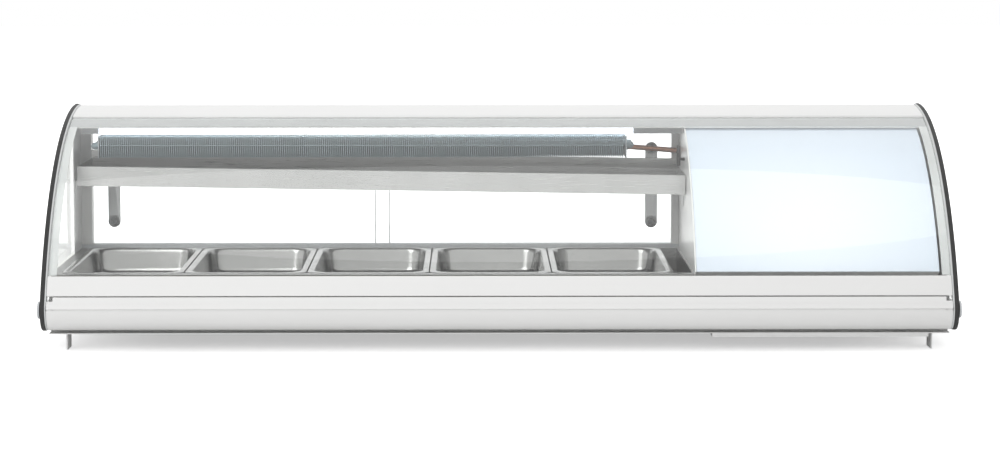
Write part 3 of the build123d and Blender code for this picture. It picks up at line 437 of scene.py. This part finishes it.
def oxidised_steel_screw():
    # Steel screw heads left dull from forging: dark grey.
    return grained_metal("oxidised_steel_screw", "#4a4c4d", "#636566", 0.3, 0.45, (1, 1, 1))


def moulded_black_nylon():
    # Moulded glass-filled nylon: black, satin, lightly grained.
    return moulded("moulded_black_nylon", "#161616", "#222222", 0.4)


def rigid_foam():
    # Rigid polyurethane foam, cut: off-white with open cells about 1.5 mm across.
    return moulded("rigid_foam", "#d9d7cf", "#e5e3dc", 0.85)


def lit_opal(name, dim, bright, strength, centre, spread):
    """Opal sheet with lamps behind it: brightest at the middle of its lit width."""
    made, tree, shader, place = begin(name, ior=1.49)
    shader.inputs["Roughness"].default_value = 0.38
    moved = add_node(tree, "ShaderNodeMapping",
                     {"Location": tuple(-c / s for c, s in zip(centre, spread)),
                      "Scale": tuple(1.0 / s for s in spread)}, {"Vector": place})
    glow = add_node(tree, "ShaderNodeTexGradient", None, {"Vector": moved.outputs["Vector"]},
                    gradient_type="SPHERICAL")
    soft = add_node(tree, "ShaderNodeMapRange", {"To Min": 0.0, "To Max": 1.0},
                    {"Value": glow.outputs["Fac"]}, interpolation_type="SMOOTHSTEP")
    tint(tree, shader, soft.outputs["Result"], dim, bright)
    tint(tree, shader, soft.outputs["Result"], dim, bright, "Emission Color")
    shader.inputs["Emission Strength"].default_value = strength
    return made


def lit_opal_acrylic():
    # Opal cast acrylic lit from behind: cool white, a little bluer towards its edges.
    return lit_opal("lit_opal_acrylic", "#cbd5e1", "#e6edf6", 0.1, (0.46, 0.02, 0.15),
                    (0.34, 0.6, 0.2))


def lit_opal_lamp():
    # Opal cover of the light strip, lit: nearly even bright white.
    return lit_opal("lit_opal_lamp", "#eef5ff", "#ffffff", 4.5, (-0.2, 0.09, 0.295),
                    (0.5, 0.2, 0.2))


def light_strip_board():
    # White solder mask with yellow phosphor dots every 16 mm.
    made, tree, shader, place = begin("light_strip_board")
    shader.inputs["Roughness"].default_value = 0.45
    spacing_mm = 16.0
    dots = add_node(tree, "ShaderNodeTexVoronoi",
                    {"Scale": 1.0 / (spacing_mm * MM), "Randomness": 0.0}, {"Vector": place})
    edge = add_node(tree, "ShaderNodeMapRange", {"From Min": 0.12, "From Max": 0.16},
                    {"Value": dots.outputs["Distance"]})
    tint(tree, shader, edge.outputs["Result"], "#e8cf6a", "#f2f2ee")
    return made


def studio_paper():
    # Seamless white paper: matt, and seen by the camera and through glass as a white ground
    # that still takes the shadow near the case and is plain white further out.
    made, tree, shader, place = begin("studio_paper")
    shader.inputs["Roughness"].default_value = 0.9
    tint(tree, shader, clouds(tree, place, 400.0), "#f1f1f1", "#f6f6f6")
    path = add_node(tree, "ShaderNodeLightPath")
    seen = add_node(tree, "ShaderNodeMath", None,
                    {0: path.outputs["Is Camera Ray"], 1: path.outputs["Is Transmission Ray"]},
                    operation="MAXIMUM")
    far = add_node(tree, "ShaderNodeVectorMath", None, {"Vector": place}, operation="LENGTH")
    grow = add_node(tree, "ShaderNodeMapRange",
                    {"From Min": 0.5, "From Max": 1.6, "To Min": 0.46, "To Max": 1.0},
                    {"Value": far.outputs["Value"]})
    lift = add_node(tree, "ShaderNodeMath", None,
                    {0: seen.outputs["Value"], 1: grow.outputs["Result"]},
                    operation="MULTIPLY")
    glow = add_node(tree, "ShaderNodeEmission", {"Color": (1, 1, 1, 1)},
                    {"Strength": lift.outputs["Value"]})
    both = add_node(tree, "ShaderNodeAddShader", None,
                    {0: shader.outputs["BSDF"], 1: glow.outputs["Emission"]})
    output = tree.nodes["Material Output"]
    tree.links.new(both.outputs["Shader"], output.inputs["Surface"])
    return made


FINISHES = {maker.__name__: maker for maker in (
    powder_coated_steel, grey_powder_coated_steel, black_enamelled_steel,
    brushed_stainless_steel, drawn_stainless_steel, anodised_aluminium, grey_painted_aluminium,
    epoxy_coated_aluminium_fin, drawn_copper_tube, galvanised_steel, tempered_float_glass,
    clear_acrylic_sheet, extruded_epdm_rubber, soft_pvc_seal, painted_edge_highlight,
    grey_lip_strip, moulded_grey_abs, oxidised_steel_screw, moulded_black_nylon, rigid_foam,
    lit_opal_acrylic, lit_opal_lamp, light_strip_board, studio_paper)}


def material(name):
    """The finish of that name, made the first time it is asked for."""
    return bpy.data.materials.get(name) or FINISHES[name]()


CARRIED_OVER = {
    "powder_coated_steel": (
        "base_tray", "machine_floor", "divider_wall", "rear_post_left", "rear_post_right",
        "machine_side_panel", "rear_grille", "light_box_tray", "feet", "tray_brackets"),
    "grey_powder_coated_steel": ("control_panel",),
    "black_enamelled_steel": ("compressor", "fan_motor"),
    "brushed_stainless_steel": ("well_liner", "drip_tray"),
    "anodised_aluminium": ("door_sill", "door_top_rail"),
    "grey_painted_aluminium": ("lamp_housing",),
    "drawn_copper_tube": ("filter_drier",),
    "galvanised_steel": ("evaporator_end_plates", "condenser_coil", "fan_shroud"),
    "tempered_float_glass": ("side_glass_left", "side_glass_right"),
    "clear_acrylic_sheet": ("door_left", "door_right"),
    "extruded_epdm_rubber": ("compressor_mounts",),
    "moulded_grey_abs": ("drain_spigot", "pivot_bushes"),
    "moulded_black_nylon": (
        "fan_rotor", "cable_gland", "thermostat_body", "switch_bodies", "rocker_main",
        "rocker_light", "thermostat_key_1", "thermostat_key_2", "thermostat_key_3",
        "temperature_probe"),
    "rigid_foam": ("insulation",),
    "light_strip_board": ("led_strips",),
}


# Settings that a user would change

class DisplayCaseSizes(bpy.types.PropertyGroup):
    """Sizes of the detailed pieces."""
    glass_thickness: bpy.props.FloatProperty(
        name="Glass thickness", description="Thickness of the curved front glass",
        default=5.0 * MM, min=3.0 * MM, max=5.0 * MM, unit="LENGTH")
    fin_pitch: bpy.props.FloatProperty(
        name="Fin pitch", description="Distance between neighbouring fins of the coil",
        default=2.9 * MM, min=2.0 * MM, max=19.0 * MM, unit="LENGTH")
    fin_thickness: bpy.props.FloatProperty(
        name="Fin thickness", description="Thickness of each fin",
        default=0.7 * MM, min=0.2 * MM, max=1.0 * MM, unit="LENGTH")
    screw_diameter: bpy.props.FloatProperty(
        name="Screw heads", description="Diameter of the screw heads on the rear cover",
        default=7.5 * MM, min=5.0 * MM, max=9.0 * MM, unit="LENGTH")
    arc_steps: bpy.props.IntProperty(
        name="Arc steps", description="Facets along each big curve", default=72, min=24, max=160)


class DisplayCaseStage(bpy.types.PropertyGroup):
    """Light and view."""
    room_light: bpy.props.FloatProperty(
        name="Room light", description="Strength of the even studio light",
        default=0.64, min=0.0, max=2.0, subtype="FACTOR")
    top_light: bpy.props.FloatProperty(
        name="Top light", description="Power of the large lamp above",
        default=22.0, min=0.0, unit="POWER")
    front_light: bpy.props.FloatProperty(
        name="Front light", description="Power of the large lamp in front, at the left",
        default=21.0, min=0.0, unit="POWER")
    lens: bpy.props.FloatProperty(
        name="Lens", description="Focal length of the camera", default=102.67,
        subtype="DISTANCE_CAMERA")


def arc_section(outer, inner, top, low, steps):
    """Closed strip between two insets of the big arc."""
    return arc_run(outer, top, low, steps) + arc_run(inner, low, top, steps)


class DISPLAYCASE_OT_front_glass(bpy.types.Operator):
    """Curved front glass with its end seals"""
    bl_idname = "display_case.front_glass"
    bl_label = "Front glass"

    def execute(self, context):
        sizes = context.scene.display_case_sizes
        outer, top_depth, low_z = 3.6, 302.5, 91.5
        inner = outer + sizes.glass_thickness / MM
        top = angle_at_y(outer, at(top_depth))
        low = angle_at_z(RAIL_INSET, low_z)
        pane = arc_section(outer, inner, top, low, sizes.arc_steps)
        bm = bmesh.new()
        add_prism(bm, pane, -INNER_HALF, INNER_HALF)
        build(bm, "curved_front_glass", "tempered_float_glass", "front_glass_frame",
              bevel=0.6, replaces=("front_glass",))
        face, back, width, top_depth, low_z = 8.8, 9.6, 12.0, 268.0, 113.0
        top = angle_at_y(outer, at(top_depth))
        low = angle_at_z(RAIL_INSET, low_z)
        strip = arc_section(face, back, top, low, sizes.arc_steps)
        bm = bmesh.new()
        for side in (-1, 1):
            add_prism(bm, strip, side * (INNER_HALF - width), side * INNER_HALF)
        build(bm, "glass_seal_strips", "soft_pvc_seal", "front_glass_frame",
              replaces=("glass_end_seals",))
        return {"FINISHED"}


class DISPLAYCASE_OT_glass_rail(bpy.types.Operator):
    """Rail along the lower edge of the glass, with its lugs, pins and caps"""
    bl_idname = "display_case.glass_rail"
    bl_label = "Glass rail"

    def execute(self, context):
        def place(inset, z):
            return on_arc(inset, angle_at_z(RAIL_INSET, z))

        def run(inset, z0, z1, steps=10):
            return [place(inset, z0 + (z1 - z0) * i / steps) for i in range(steps + 1)]

        low, web_low, pocket_floor, top = 83.0, 88.5, 91.0, 110.0
        wall, pocket_back, back = 3.5, 8.7, 11.2
        section = run(RAIL_INSET, low, top - 0.6) + [place(RAIL_INSET + 0.7, top)]
        section += run(wall, top, pocket_floor) + run(pocket_back, pocket_floor, top)
        section += run(back, top, web_low) + run(wall, web_low, low, 4)
        bm = bmesh.new()
        add_prism(bm, section, -INNER_HALF, INNER_HALF)
        lug_back, lug_front, lug_top = PIVOT_Y + 21.0, PIVOT_Y + 14.0, 93.5
        bridge_front = place(wall, pocket_floor)[0] + 2.0
        bridge_low, bridge_top = low + 1.0, 87.0
        radius, arm, steps = 8, 4, 20
        boss = [(PIVOT_Y + radius * math.cos(a), PIVOT_Z + radius * math.sin(a))
                for a in (math.radians(30 + 300 * i / steps) for i in range(steps + 1))]
        outline = boss + [(lug_back, PIVOT_Z - arm), (lug_back, lug_top), (lug_front, lug_top),
                          (lug_front, bridge_top), (bridge_front, bridge_top),
                          (bridge_front, bridge_low), (lug_front, bridge_low),
                          (lug_front, PIVOT_Z + arm)]
        for side in (-1, 1):
            add_prism(bm, outline, side * (INNER_HALF - 7.0), side * (INNER_HALF - 1.0))
        build(bm, "glass_carrier_rail", "powder_coated_steel", "front_glass_frame",
              bevel=0.35, replaces=("glass_rail",))
        cap_gap = 0.4
        start = INNER_HALF - 7.5
        cap = HALF_WIDTH + cap_gap - start
        profile = [(3.4, 0.0), (4.0, 0.6), (4.0, cap), (12.0, cap), (12.5, cap + 0.5),
                   (12.5, cap + 2.2), (11.6, cap + 3.4), (10.2, cap + 3.7), (9.6, cap + 3.3),
                   (9.0, cap + 3.3), (8.4, cap + 3.8), (4.0, cap + 4.0), (0.6, cap + 4.0)]
        bm = bmesh.new()
        for side in (-1, 1):
            add_lathe(bm, profile, (side * start, PIVOT_Y, PIVOT_Z), (side, 0, 0))
        build(bm, "pivot_caps", "anodised_aluminium", "front_glass_frame",
              replaces=("pivot_pins",))
        return {"FINISHED"}


class DISPLAYCASE_OT_front_bumper(bpy.types.Operator):
    """Rounded extrusion below the glass, with a shallow bead where its two curves meet"""
    bl_idname = "display_case.front_bumper"
    bl_label = "Front bumper"

    def execute(self, context):
        end = INNER_HALF - 9.0
        full_top, notch_top = 81.0, 75.0
        bead_inset = 0.45
        bead_start = angle_at_z(RAIL_INSET, 66.0)
        bead_crest = angle_at_z(RAIL_INSET, 64.6)
        bm = bmesh.new()
        for top, x0, x1 in ((full_top, -end, end), (notch_top, -INNER_HALF, -end),
                            (notch_top, end, INNER_HALF)):
            section = arc_run(RAIL_INSET, angle_at_z(RAIL_INSET, top), bead_start, 8)
            section += [on_arc(bead_inset, bead_crest), on_arc(bead_inset, TANGENT)]
            section += nose_run(RAIL_INSET, NOSE_STEPS)[1:]
            section += [(at(BUMPER_BACK), NOSE_Z - NOSE_R + RAIL_INSET), (at(BUMPER_BACK), top)]
            add_prism(bm, section, x0, x1)
        build(bm, "front_bumper_skin", "powder_coated_steel", "root",
              replaces=("front_bumper",))
        return {"FINISHED"}


class DISPLAYCASE_OT_top_panel(bpy.types.Operator):
    """Curved top extrusion with the lip that the glass lies on"""
    bl_idname = "display_case.top_panel"
    bl_label = "Top panel"

    def execute(self, context):
        steps = context.scene.display_case_sizes.arc_steps
        skin, skin_under, lip, lip_under = 2.5, 5.0, 8.9, 10.9
        low, step = angle_at_y(skin, at(303.0)), angle_at_y(skin, at(306.0))
        groove, groove_end = angle_at_y(skin, at(307.0)), angle_at_y(skin, at(308.2))
        groove_floor = skin + 0.7
        tip = angle_at_y(lip, at(270.0))
        back = at(406.0)
        hem = back - (skin_under - skin)
        rear = angle_at_y(skin_under, hem)
        crown = on_arc(skin, 0)[1]
        hem_low = crown - 12.0
        section = [(back, crown)] + arc_run(skin, 0, groove_end, steps)
        section += [on_arc(groove_floor, groove_end), on_arc(groove_floor, groove)]
        section += arc_run(skin, groove, low, 6)
        section += arc_run(lip, low, tip, 20) + arc_run(lip_under, tip, step, 20)
        section += arc_run(skin_under, step, rear, steps)
        section += [(hem, hem_low), (back, hem_low)]
        bm = bmesh.new()
        add_prism(bm, section, -INNER_HALF, INNER_HALF)
        build(bm, "top_cover", "powder_coated_steel", "root",
              replaces=("top_panel",))
        # A thin mid grey strip over the lip's upper face darkens the lip.
        grey_strip_top, grey_strip_under = lip - 0.2, lip - 0.05
        bm = bmesh.new()
        add_prism(bm, arc_section(grey_strip_top, grey_strip_under, low, tip, steps), -INNER_HALF, INNER_HALF)
        build(bm, "lip_grey_strip", "grey_lip_strip", "root")
        return {"FINISHED"}


class DISPLAYCASE_OT_edge_trims(bpy.types.Operator):
    """Rubber channels round the curved edges of both side panes"""
    bl_idname = "display_case.edge_trims"
    bl_label = "Edge trims"

    def execute(self, context):
        steps = context.scene.display_case_sizes.arc_steps
        start = angle_at_y(0, at(402.0))
        path = [(*on_arc(0, start + (TANGENT - start) * i / steps),
                 start + (TANGENT - start) * i / steps) for i in range(steps)]
        for i, (y, z) in enumerate(nose_run(0, NOSE_STEPS)):
            path.append((y, z, TANGENT + (math.pi - TANGENT) * i / NOSE_STEPS))
        path.append((at(BUMPER_BACK), NOSE_Z - NOSE_R, math.pi))
        bm = bmesh.new()
        # A light grey strip runs along the inner leg of each channel.
        bm_pale_strip = bmesh.new()
        for side in (-1, 1):
            add_loft(bm, self.sweep(path, side, self.rubber_section))
            add_loft(bm_pale_strip, self.sweep(path, side, self.pale_strip_section))
        build(bm, "edge_trim_channels", "extruded_epdm_rubber", "root",
              replaces=("edge_trims",))
        build(bm_pale_strip, "edge_trim_pale_strips", "soft_pvc_seal", "root")
        return {"FINISHED"}

    def rubber_section(self, deep):
        """(X, depth from the edge) round the outer leg and the crown."""
        return [(653.2, 0.6), (654.6, 0.1), (656.0, 0.0), (658.0, 0.0), (659.0, 0.3),
                (659.65, 0.9), (660.0, 1.9), (660.0, deep), (659.4, deep),
                (658.5, deep - 0.6), (658.5, 1.5), (653.2, 1.5)]

    def pale_strip_section(self, deep):
        """(X, depth from the edge) round the inner leg."""
        return [(651.0, deep), (651.0, 2.2), (651.4, 1.3), (652.2, 0.8), (653.2, 0.8),
                (653.2, 1.6), (652.5, 1.6), (652.5, deep - 0.6), (651.6, deep)]

    def sweep(self, path, side, section):
        """Rings of a section along the edge, shallower where the pivot bush needs room."""
        depth, bush_room = 12.0, 8.6
        rings = []
        for y, z, a in path:
            deep = min(depth, math.hypot(y - PIVOT_Y, z - PIVOT_Z) - bush_room)
            rings.append([(side * x, y + math.sin(a) * d, z - math.cos(a) * d)
                          for x, d in section(deep)])
        return rings


class DISPLAYCASE_OT_pans(bpy.types.Operator):
    """Five deep drawn pans"""
    bl_idname = "display_case.pans"
    bl_label = "Pans"

    def execute(self, context):
        # Inset from the rim's edge, height above the rim and corner radius, from the floor
        # inside over the rim to the floor outside.
        profile = [(44.0, -39.0, 12.0), (21.0, -39.2, 22.0), (17.4, -38.2, 24.0),
                   (15.2, -36.4, 25.0), (13.9, -33.6, 26.0), (13.2, -30.0, 26.4),
                   (10.0, -8.0, 28.6), (9.2, -3.4, 29.0), (8.5, -1.2, 29.0), (7.4, -0.3, 28.0),
                   (5.8, 0.0, 26.0), (1.2, 0.0, 13.0), (0.35, -0.25, 12.2), (0.0, -0.6, 12.0),
                   (0.0, -1.0, 12.0), (7.6, -1.0, 28.0), (8.2, -4.0, 29.6), (9.0, -8.0, 29.4),
                   (12.3, -30.2, 27.2), (13.1, -34.4, 26.6), (14.6, -37.4, 25.6),
                   (17.2, -39.4, 24.4), (21.0, -40.0, 22.0), (44.0, -40.0, 12.0)]
        half_width, half_length, rim_top = 88.0, 162.5, 110.5
        first_left, front, pitch = -635.5, 52.0, 178.0
        y = at(front + half_length)
        for index in range(5):
            x = first_left + half_width + pitch * index
            rings = []
            for inset, z, radius in profile:
                ring = rounded_rectangle(half_width - inset, half_length - inset, radius,
                                         rim_top + z)
                rings.append([(x + p[0], y + p[1], p[2]) for p in ring])
            bm = bmesh.new()
            add_loft(bm, rings)
            build(bm, f"food_pan_{index + 1}_drawn", "drawn_stainless_steel",
                  f"food_pan_{index + 1}", smooth=40.0, replaces=(f"pan_{index + 1}",))
        return {"FINISHED"}


class DISPLAYCASE_OT_coil(bpy.types.Operator):
    """Cooling coil: fins, the tube that winds through them and the pipes"""
    bl_idname = "display_case.coil"
    bl_label = "Cooling coil"

    def execute(self, context):
        sizes = context.scene.display_case_sizes
        pitch = sizes.fin_pitch / MM
        thick = sizes.fin_thickness / MM
        front, low, high = 268.0, 259.0, 290.0
        wave, wave_step = 2.6, 25.0
        left, right = -604.0, 191.0 - wave
        collar_low, collar_high, collar_depth, collar_share = 276.4, 277.8, 0.6, 0.45
        count = int((right - left) / pitch)
        bm = bmesh.new()
        for i in range(count + 1):
            x = left + i * (right - left - thick) / count
            rings = []
            for step in range(5):
                x0 = x + wave * (step % 2)
                y = at(front + wave_step * step)
                x1 = x0 + thick
                rings.append([(x0, y, low), (x1, y, low), (x1, y, high), (x0, y, high)])
            add_loft(bm, rings)
            add_box(bm, (x + thick, at(front), collar_low),
                    (x + thick + pitch * collar_share, at(front + collar_depth), collar_high))
        build(bm, "coil_fins", "epoxy_coated_aluminium_fin", "root",
              replaces=("evaporator_fins",))
        row_pitch, row_high, row_low = 25.0, 280.08, 268.92
        rows = [(at(front) + row_pitch * (i + 0.5), row_high if i % 2 == 0 else row_low)
                for i in range(4)]
        reach_left, reach_right, tail = -628.0, 215.0, 202.0
        points = []
        for i, (y, z) in enumerate(rows):
            ends = [(reach_right, y, z), (reach_left, y, z)]
            points += ends if i % 2 == 0 else list(reversed(ends))
        points[0] = (tail, *rows[0])
        points[-1] = (tail, *rows[-1])
        bend, tube = 12.9, 4.75
        bm = bmesh.new()
        add_tube(bm, round_corners(points, bend), tube)
        build(bm, "coil_tube", "epoxy_coated_aluminium_fin", "root",
              replaces=("evaporator_tubes",))
        y_in, z_in = rows[-1]
        wall, foot_z, shell_y, shell_x = 312.0, 120.0, at(240.0), 328.0
        suction = [(tail, y_in, z_in), (wall, y_in, z_in), (wall, y_in, foot_z),
                   (wall, shell_y, foot_z), (shell_x, shell_y, foot_z)]
        x, y, top = 408.6, shell_y - 12.4, 177.2
        end_x, end_y, end_z, drop_x = 456.0, at(352.0), 173.5, 434.0
        discharge = [(x, y, top), (x, y, top + 22), (x + 34, y + 30, top + 22),
                     (drop_x, end_y, top + 10), (drop_x, end_y, end_z), (end_x, end_y, end_z)]
        bm = bmesh.new()
        add_tube(bm, round_corners(suction, 9.0), 4.0)
        add_tube(bm, round_corners(discharge, 7.0), 3.0)
        build(bm, "machine_pipes", "drawn_copper_tube", "root",
              replaces=("refrigerant_pipes",))
        return {"FINISHED"}


class DISPLAYCASE_OT_light_box(bpy.types.Operator):
    """Lit opal cover over the machine compartment"""
    bl_idname = "display_case.light_box"
    bl_label = "Light box"

    def execute(self, context):
        steps = context.scene.display_case_sizes.arc_steps
        face, back, left, right = 14.0, 16.0, 284.5, 636.0
        top = angle_at_y(face, at(278.0))
        low = angle_at_z(face, 113.0)
        bm = bmesh.new()
        add_prism(bm, arc_section(face, back, top, low, steps), left, right)
        build(bm, "opal_cover", "lit_opal_acrylic", "root",
              replaces=("light_box_diffuser",))
        return {"FINISHED"}


class DISPLAYCASE_OT_lamp_cover(bpy.types.Operator):
    """Lit opal cover round the front and underside of the light strip"""
    bl_idname = "display_case.lamp_cover"
    bl_label = "Lamp cover"

    def execute(self, context):
        left, right = -608.0, 205.0
        front, inside, back = at(285.0), at(287.2), at(306.8)
        low, shelf, top = 292.4, 296.0, 301.8
        section = [(inside, shelf), (inside, top), (front + 0.5, top), (front, top - 0.6),
                   (front, low + 2.2), (front + 0.7, low + 0.7), (front + 2.2, low),
                   (back - 0.8, low), (back, low + 0.8), (back, shelf)]
        bm = bmesh.new()
        add_prism(bm, section, left, right)
        build(bm, "lamp_cover", "lit_opal_lamp", "root", smooth=50.0,
              replaces=("lamp_diffuser",))
        return {"FINISHED"}


class DISPLAYCASE_OT_door_pulls(bpy.types.Operator):
    """Strap pulls of the two sliding doors, their screws and a painted highlight on the panes'
    polished edges
    """
    bl_idname = "display_case.door_pulls"
    bl_label = "Door pulls"

    def execute(self, context):
        low, high, half, thick, stand_off = 140.0, 274.0, 9.5, 2.0, 2.5
        pane_thickness, pane_low, pane_high = 4.0, 111.0, 303.0
        skin, lap = 0.06, 1.4
        head = [(5.4, 0.0), (5.4, 0.5), (4.9, 0.8), (3.6, 0.8), (3.5, 0.5), (2.9, 0.5),
                (2.8, 1.0), (2.0, 1.2), (0.9, 1.2), (0.8, 0.7), (0.2, 0.7)]
        for name, x, pane, edge, inward in (("left", -600.6, at(394.0), -169.3, -1),
                                            ("right", 239.5, at(382.0), -192.3, 1)):
            back = pane + pane_thickness
            strap = back + stand_off
            bm = bmesh.new()
            add_plate(bm, stadium(x, low, high, half), strap, strap + thick)
            for end in (low, high - 2 * half):
                add_plate(bm, stadium(x, end, end + 2 * half, half), back, strap)
            build(bm, f"{name}_pull", "moulded_grey_abs", f"{name}_door",
                  bevel=0.5, replaces=(f"door_{name}_handle",))
            bm = bmesh.new()
            for z in (low + half, high - half):
                add_lathe(bm, head, (x, pane, z), (0, -1, 0), 28)
            build(bm, f"{name}_pull_screws", "oxidised_steel_screw", f"{name}_door")
            # Thin pale strip over the pane's edge: the light that the polished edge catches,
            # painted in as a highlight.
            near, far = sorted((edge - inward * skin, edge + inward * lap))
            bm = bmesh.new()
            add_box(bm, (near, pane - skin, pane_low), (far, back + skin, pane_high))
            build(bm, f"{name}_door_edge_highlight", "painted_edge_highlight", f"{name}_door")
        return {"FINISHED"}


class DISPLAYCASE_OT_rear_details(bpy.types.Operator):
    """Louvre hoods, screws and the thermostat's window on the rear cover"""
    bl_idname = "display_case.rear_details"
    bl_label = "Rear details"

    def execute(self, context):
        face = at(407.5)
        hood_count, first_hood, hood_pitch, hood_left, hood_right = 11, 53.0, 12.0, 461.0, 603.0
        bm = bmesh.new()
        for i in range(hood_count):
            z = first_hood + hood_pitch * i
            hood = [(face, z + 1.6), (face + 1.6, z + 0.9), (face + 2.6, z - 0.8),
                    (face + 2.9, z - 2.6), (face + 2.3, z - 2.6), (face + 2.0, z - 1.0),
                    (face + 1.2, z + 0.2), (face, z + 0.6)]
            add_prism(bm, hood, hood_left, hood_right)
        build(bm, "louvre_hoods", "powder_coated_steel", "root", smooth=45.0)
        radius = context.scene.display_case_sizes.screw_diameter / MM / 2
        head = [(radius, 0.0), (radius, 0.5), (radius * 0.85, 1.3), (radius * 0.5, 1.8),
                (radius * 0.3, 1.9), (radius * 0.26, 1.0), (radius * 0.05, 1.0)]
        bm = bmesh.new()
        panel_face = face + 1.5
        for xs, zs, y in (((293.0, 642.0), (38.0, 120.0, 205.0, 300.0), face),
                          ((306.0, 414.0), (244.0, 294.0), panel_face)):
            for x in xs:
                for z in zs:
                    add_lathe(bm, head, (x, y, z), (0, 1, 0), 28)
        build(bm, "cover_screws", "brushed_stainless_steel", "root")
        low, high = (322.2, 203.4, 260.2), (349.8, 203.9, 277.8)
        bm = bmesh.new()
        add_box(bm, low, high)
        build(bm, "thermostat_window", "black_enamelled_steel", "root", bevel=0.2)
        return {"FINISHED"}


class DISPLAYCASE_OT_dress_nodes(bpy.types.Operator):
    """Finishes for the parts that keep their own shape"""
    bl_idname = "display_case.dress_nodes"
    bl_label = "Dress carried-over parts"

    def execute(self, context):
        for finish, names in CARRIED_OVER.items():
            for name in names:
                node = NODES[name]
                if not node.material_slots:
                    node.data.materials.append(None)
                for slot in node.material_slots:
                    slot.material = material(finish)
        return {"FINISHED"}


class DISPLAYCASE_OT_stage(bpy.types.Operator):
    """Floor, lamps, surroundings and camera"""
    bl_idname = "display_case.stage"
    bl_label = "Stage"

    def execute(self, context):
        stage = context.scene.display_case_stage
        scene = context.scene
        bm = bmesh.new()
        floor_reach = 12000.0
        bmesh.ops.create_grid(bm, x_segments=8, y_segments=8, size=floor_reach)
        floor = build(bm, "studio_floor", "studio_paper", None)
        floor.location.z = -0.2 * MM
        self.surroundings(scene, stage.room_light)
        for name, power, size, place, aim in (
                ("top_softbox", stage.top_light, 2.4, (0.0, -0.4, 2.6), (0.0, 0.0, 0.0)),
                ("front_softbox", stage.front_light, 1.8, (-1.6, -2.6, 1.7), (0.0, 0.0, 0.2))):
            lamp = bpy.data.lights.new(name, "AREA")
            lamp.energy = power
            lamp.shape = "DISK"
            lamp.size = size
            rig = bpy.data.objects.new(name, lamp)
            rig.location = place
            aim_at = Vector(aim) - Vector(place)
            rig.rotation_euler = aim_at.to_track_quat("-Z", "Y").to_euler()
            rig.visible_glossy = False
            scene.collection.objects.link(rig)
        data = bpy.data.cameras.new("front_camera")
        data.lens = stage.lens
        data.sensor_width = 36.0
        data.clip_end = 100.0
        camera = bpy.data.objects.new("front_camera", data)
        tilt_down, turn = 6.24, -0.51
        camera.location = (-0.0363, -4.2579, 0.624)
        camera.rotation_euler = (math.radians(90 - tilt_down), 0.0, math.radians(turn))
        scene.collection.objects.link(camera)
        scene.camera = camera
        scene.view_settings.view_transform = "Standard"
        return {"FINISHED"}

    def surroundings(self, scene, strength):
        """White ground for the camera, mirrors and glass, and an even light for the rest."""
        world = bpy.data.worlds.new("studio")
        scene.world = world
        world.use_nodes = True
        tree = world.node_tree
        path = add_node(tree, "ShaderNodeLightPath")
        seen = add_node(tree, "ShaderNodeMath", None,
                        {0: path.outputs["Is Camera Ray"], 1: path.outputs["Is Glossy Ray"]},
                        operation="MAXIMUM")
        seen = add_node(tree, "ShaderNodeMath", None,
                        {0: seen.outputs["Value"], 1: path.outputs["Is Transmission Ray"]},
                        operation="MAXIMUM")
        level = add_node(tree, "ShaderNodeMapRange", {"To Min": strength, "To Max": 1.0},
                         {"Value": seen.outputs["Value"]})
        background = tree.nodes["Background"]
        background.inputs["Color"].default_value = (1, 1, 1, 1)
        tree.links.new(level.outputs["Result"], background.inputs["Strength"])


PIECES = (DISPLAYCASE_OT_front_glass, DISPLAYCASE_OT_glass_rail, DISPLAYCASE_OT_front_bumper,
          DISPLAYCASE_OT_top_panel, DISPLAYCASE_OT_edge_trims, DISPLAYCASE_OT_pans,
          DISPLAYCASE_OT_coil, DISPLAYCASE_OT_light_box, DISPLAYCASE_OT_lamp_cover,
          DISPLAYCASE_OT_door_pulls, DISPLAYCASE_OT_rear_details, DISPLAYCASE_OT_dress_nodes,
          DISPLAYCASE_OT_stage)


class DISPLAYCASE_PT_sidebar(bpy.types.Panel):
    """Lists the settings and the pieces of the display case"""
    bl_idname = "DISPLAYCASE_PT_sidebar"
    bl_label = "Display Case"
    bl_space_type = "VIEW_3D"
    bl_region_type = "UI"
    bl_category = "Display Case"

    def draw(self, context):
        for group in (context.scene.display_case_sizes, context.scene.display_case_stage):
            box = self.layout.box()
            for name in group.__annotations__:
                box.prop(group, name)
        for piece in PIECES:
            self.layout.operator(piece.bl_idname)


CLASSES = (DisplayCaseSizes, DisplayCaseStage) + PIECES + (DISPLAYCASE_PT_sidebar,)


def register():
    for cls in CLASSES:
        bpy.utils.register_class(cls)
    bpy.types.Scene.display_case_sizes = bpy.props.PointerProperty(type=DisplayCaseSizes)
    bpy.types.Scene.display_case_stage = bpy.props.PointerProperty(type=DisplayCaseStage)


def unregister():
    del bpy.types.Scene.display_case_stage
    del bpy.types.Scene.display_case_sizes
    for cls in reversed(CLASSES):
        bpy.utils.unregister_class(cls)


def main():
    register()
    for piece in PIECES:
        group, name = piece.bl_idname.split(".")
        getattr(getattr(bpy.ops, group), name)()


if __name__ == "__main__":
    main()
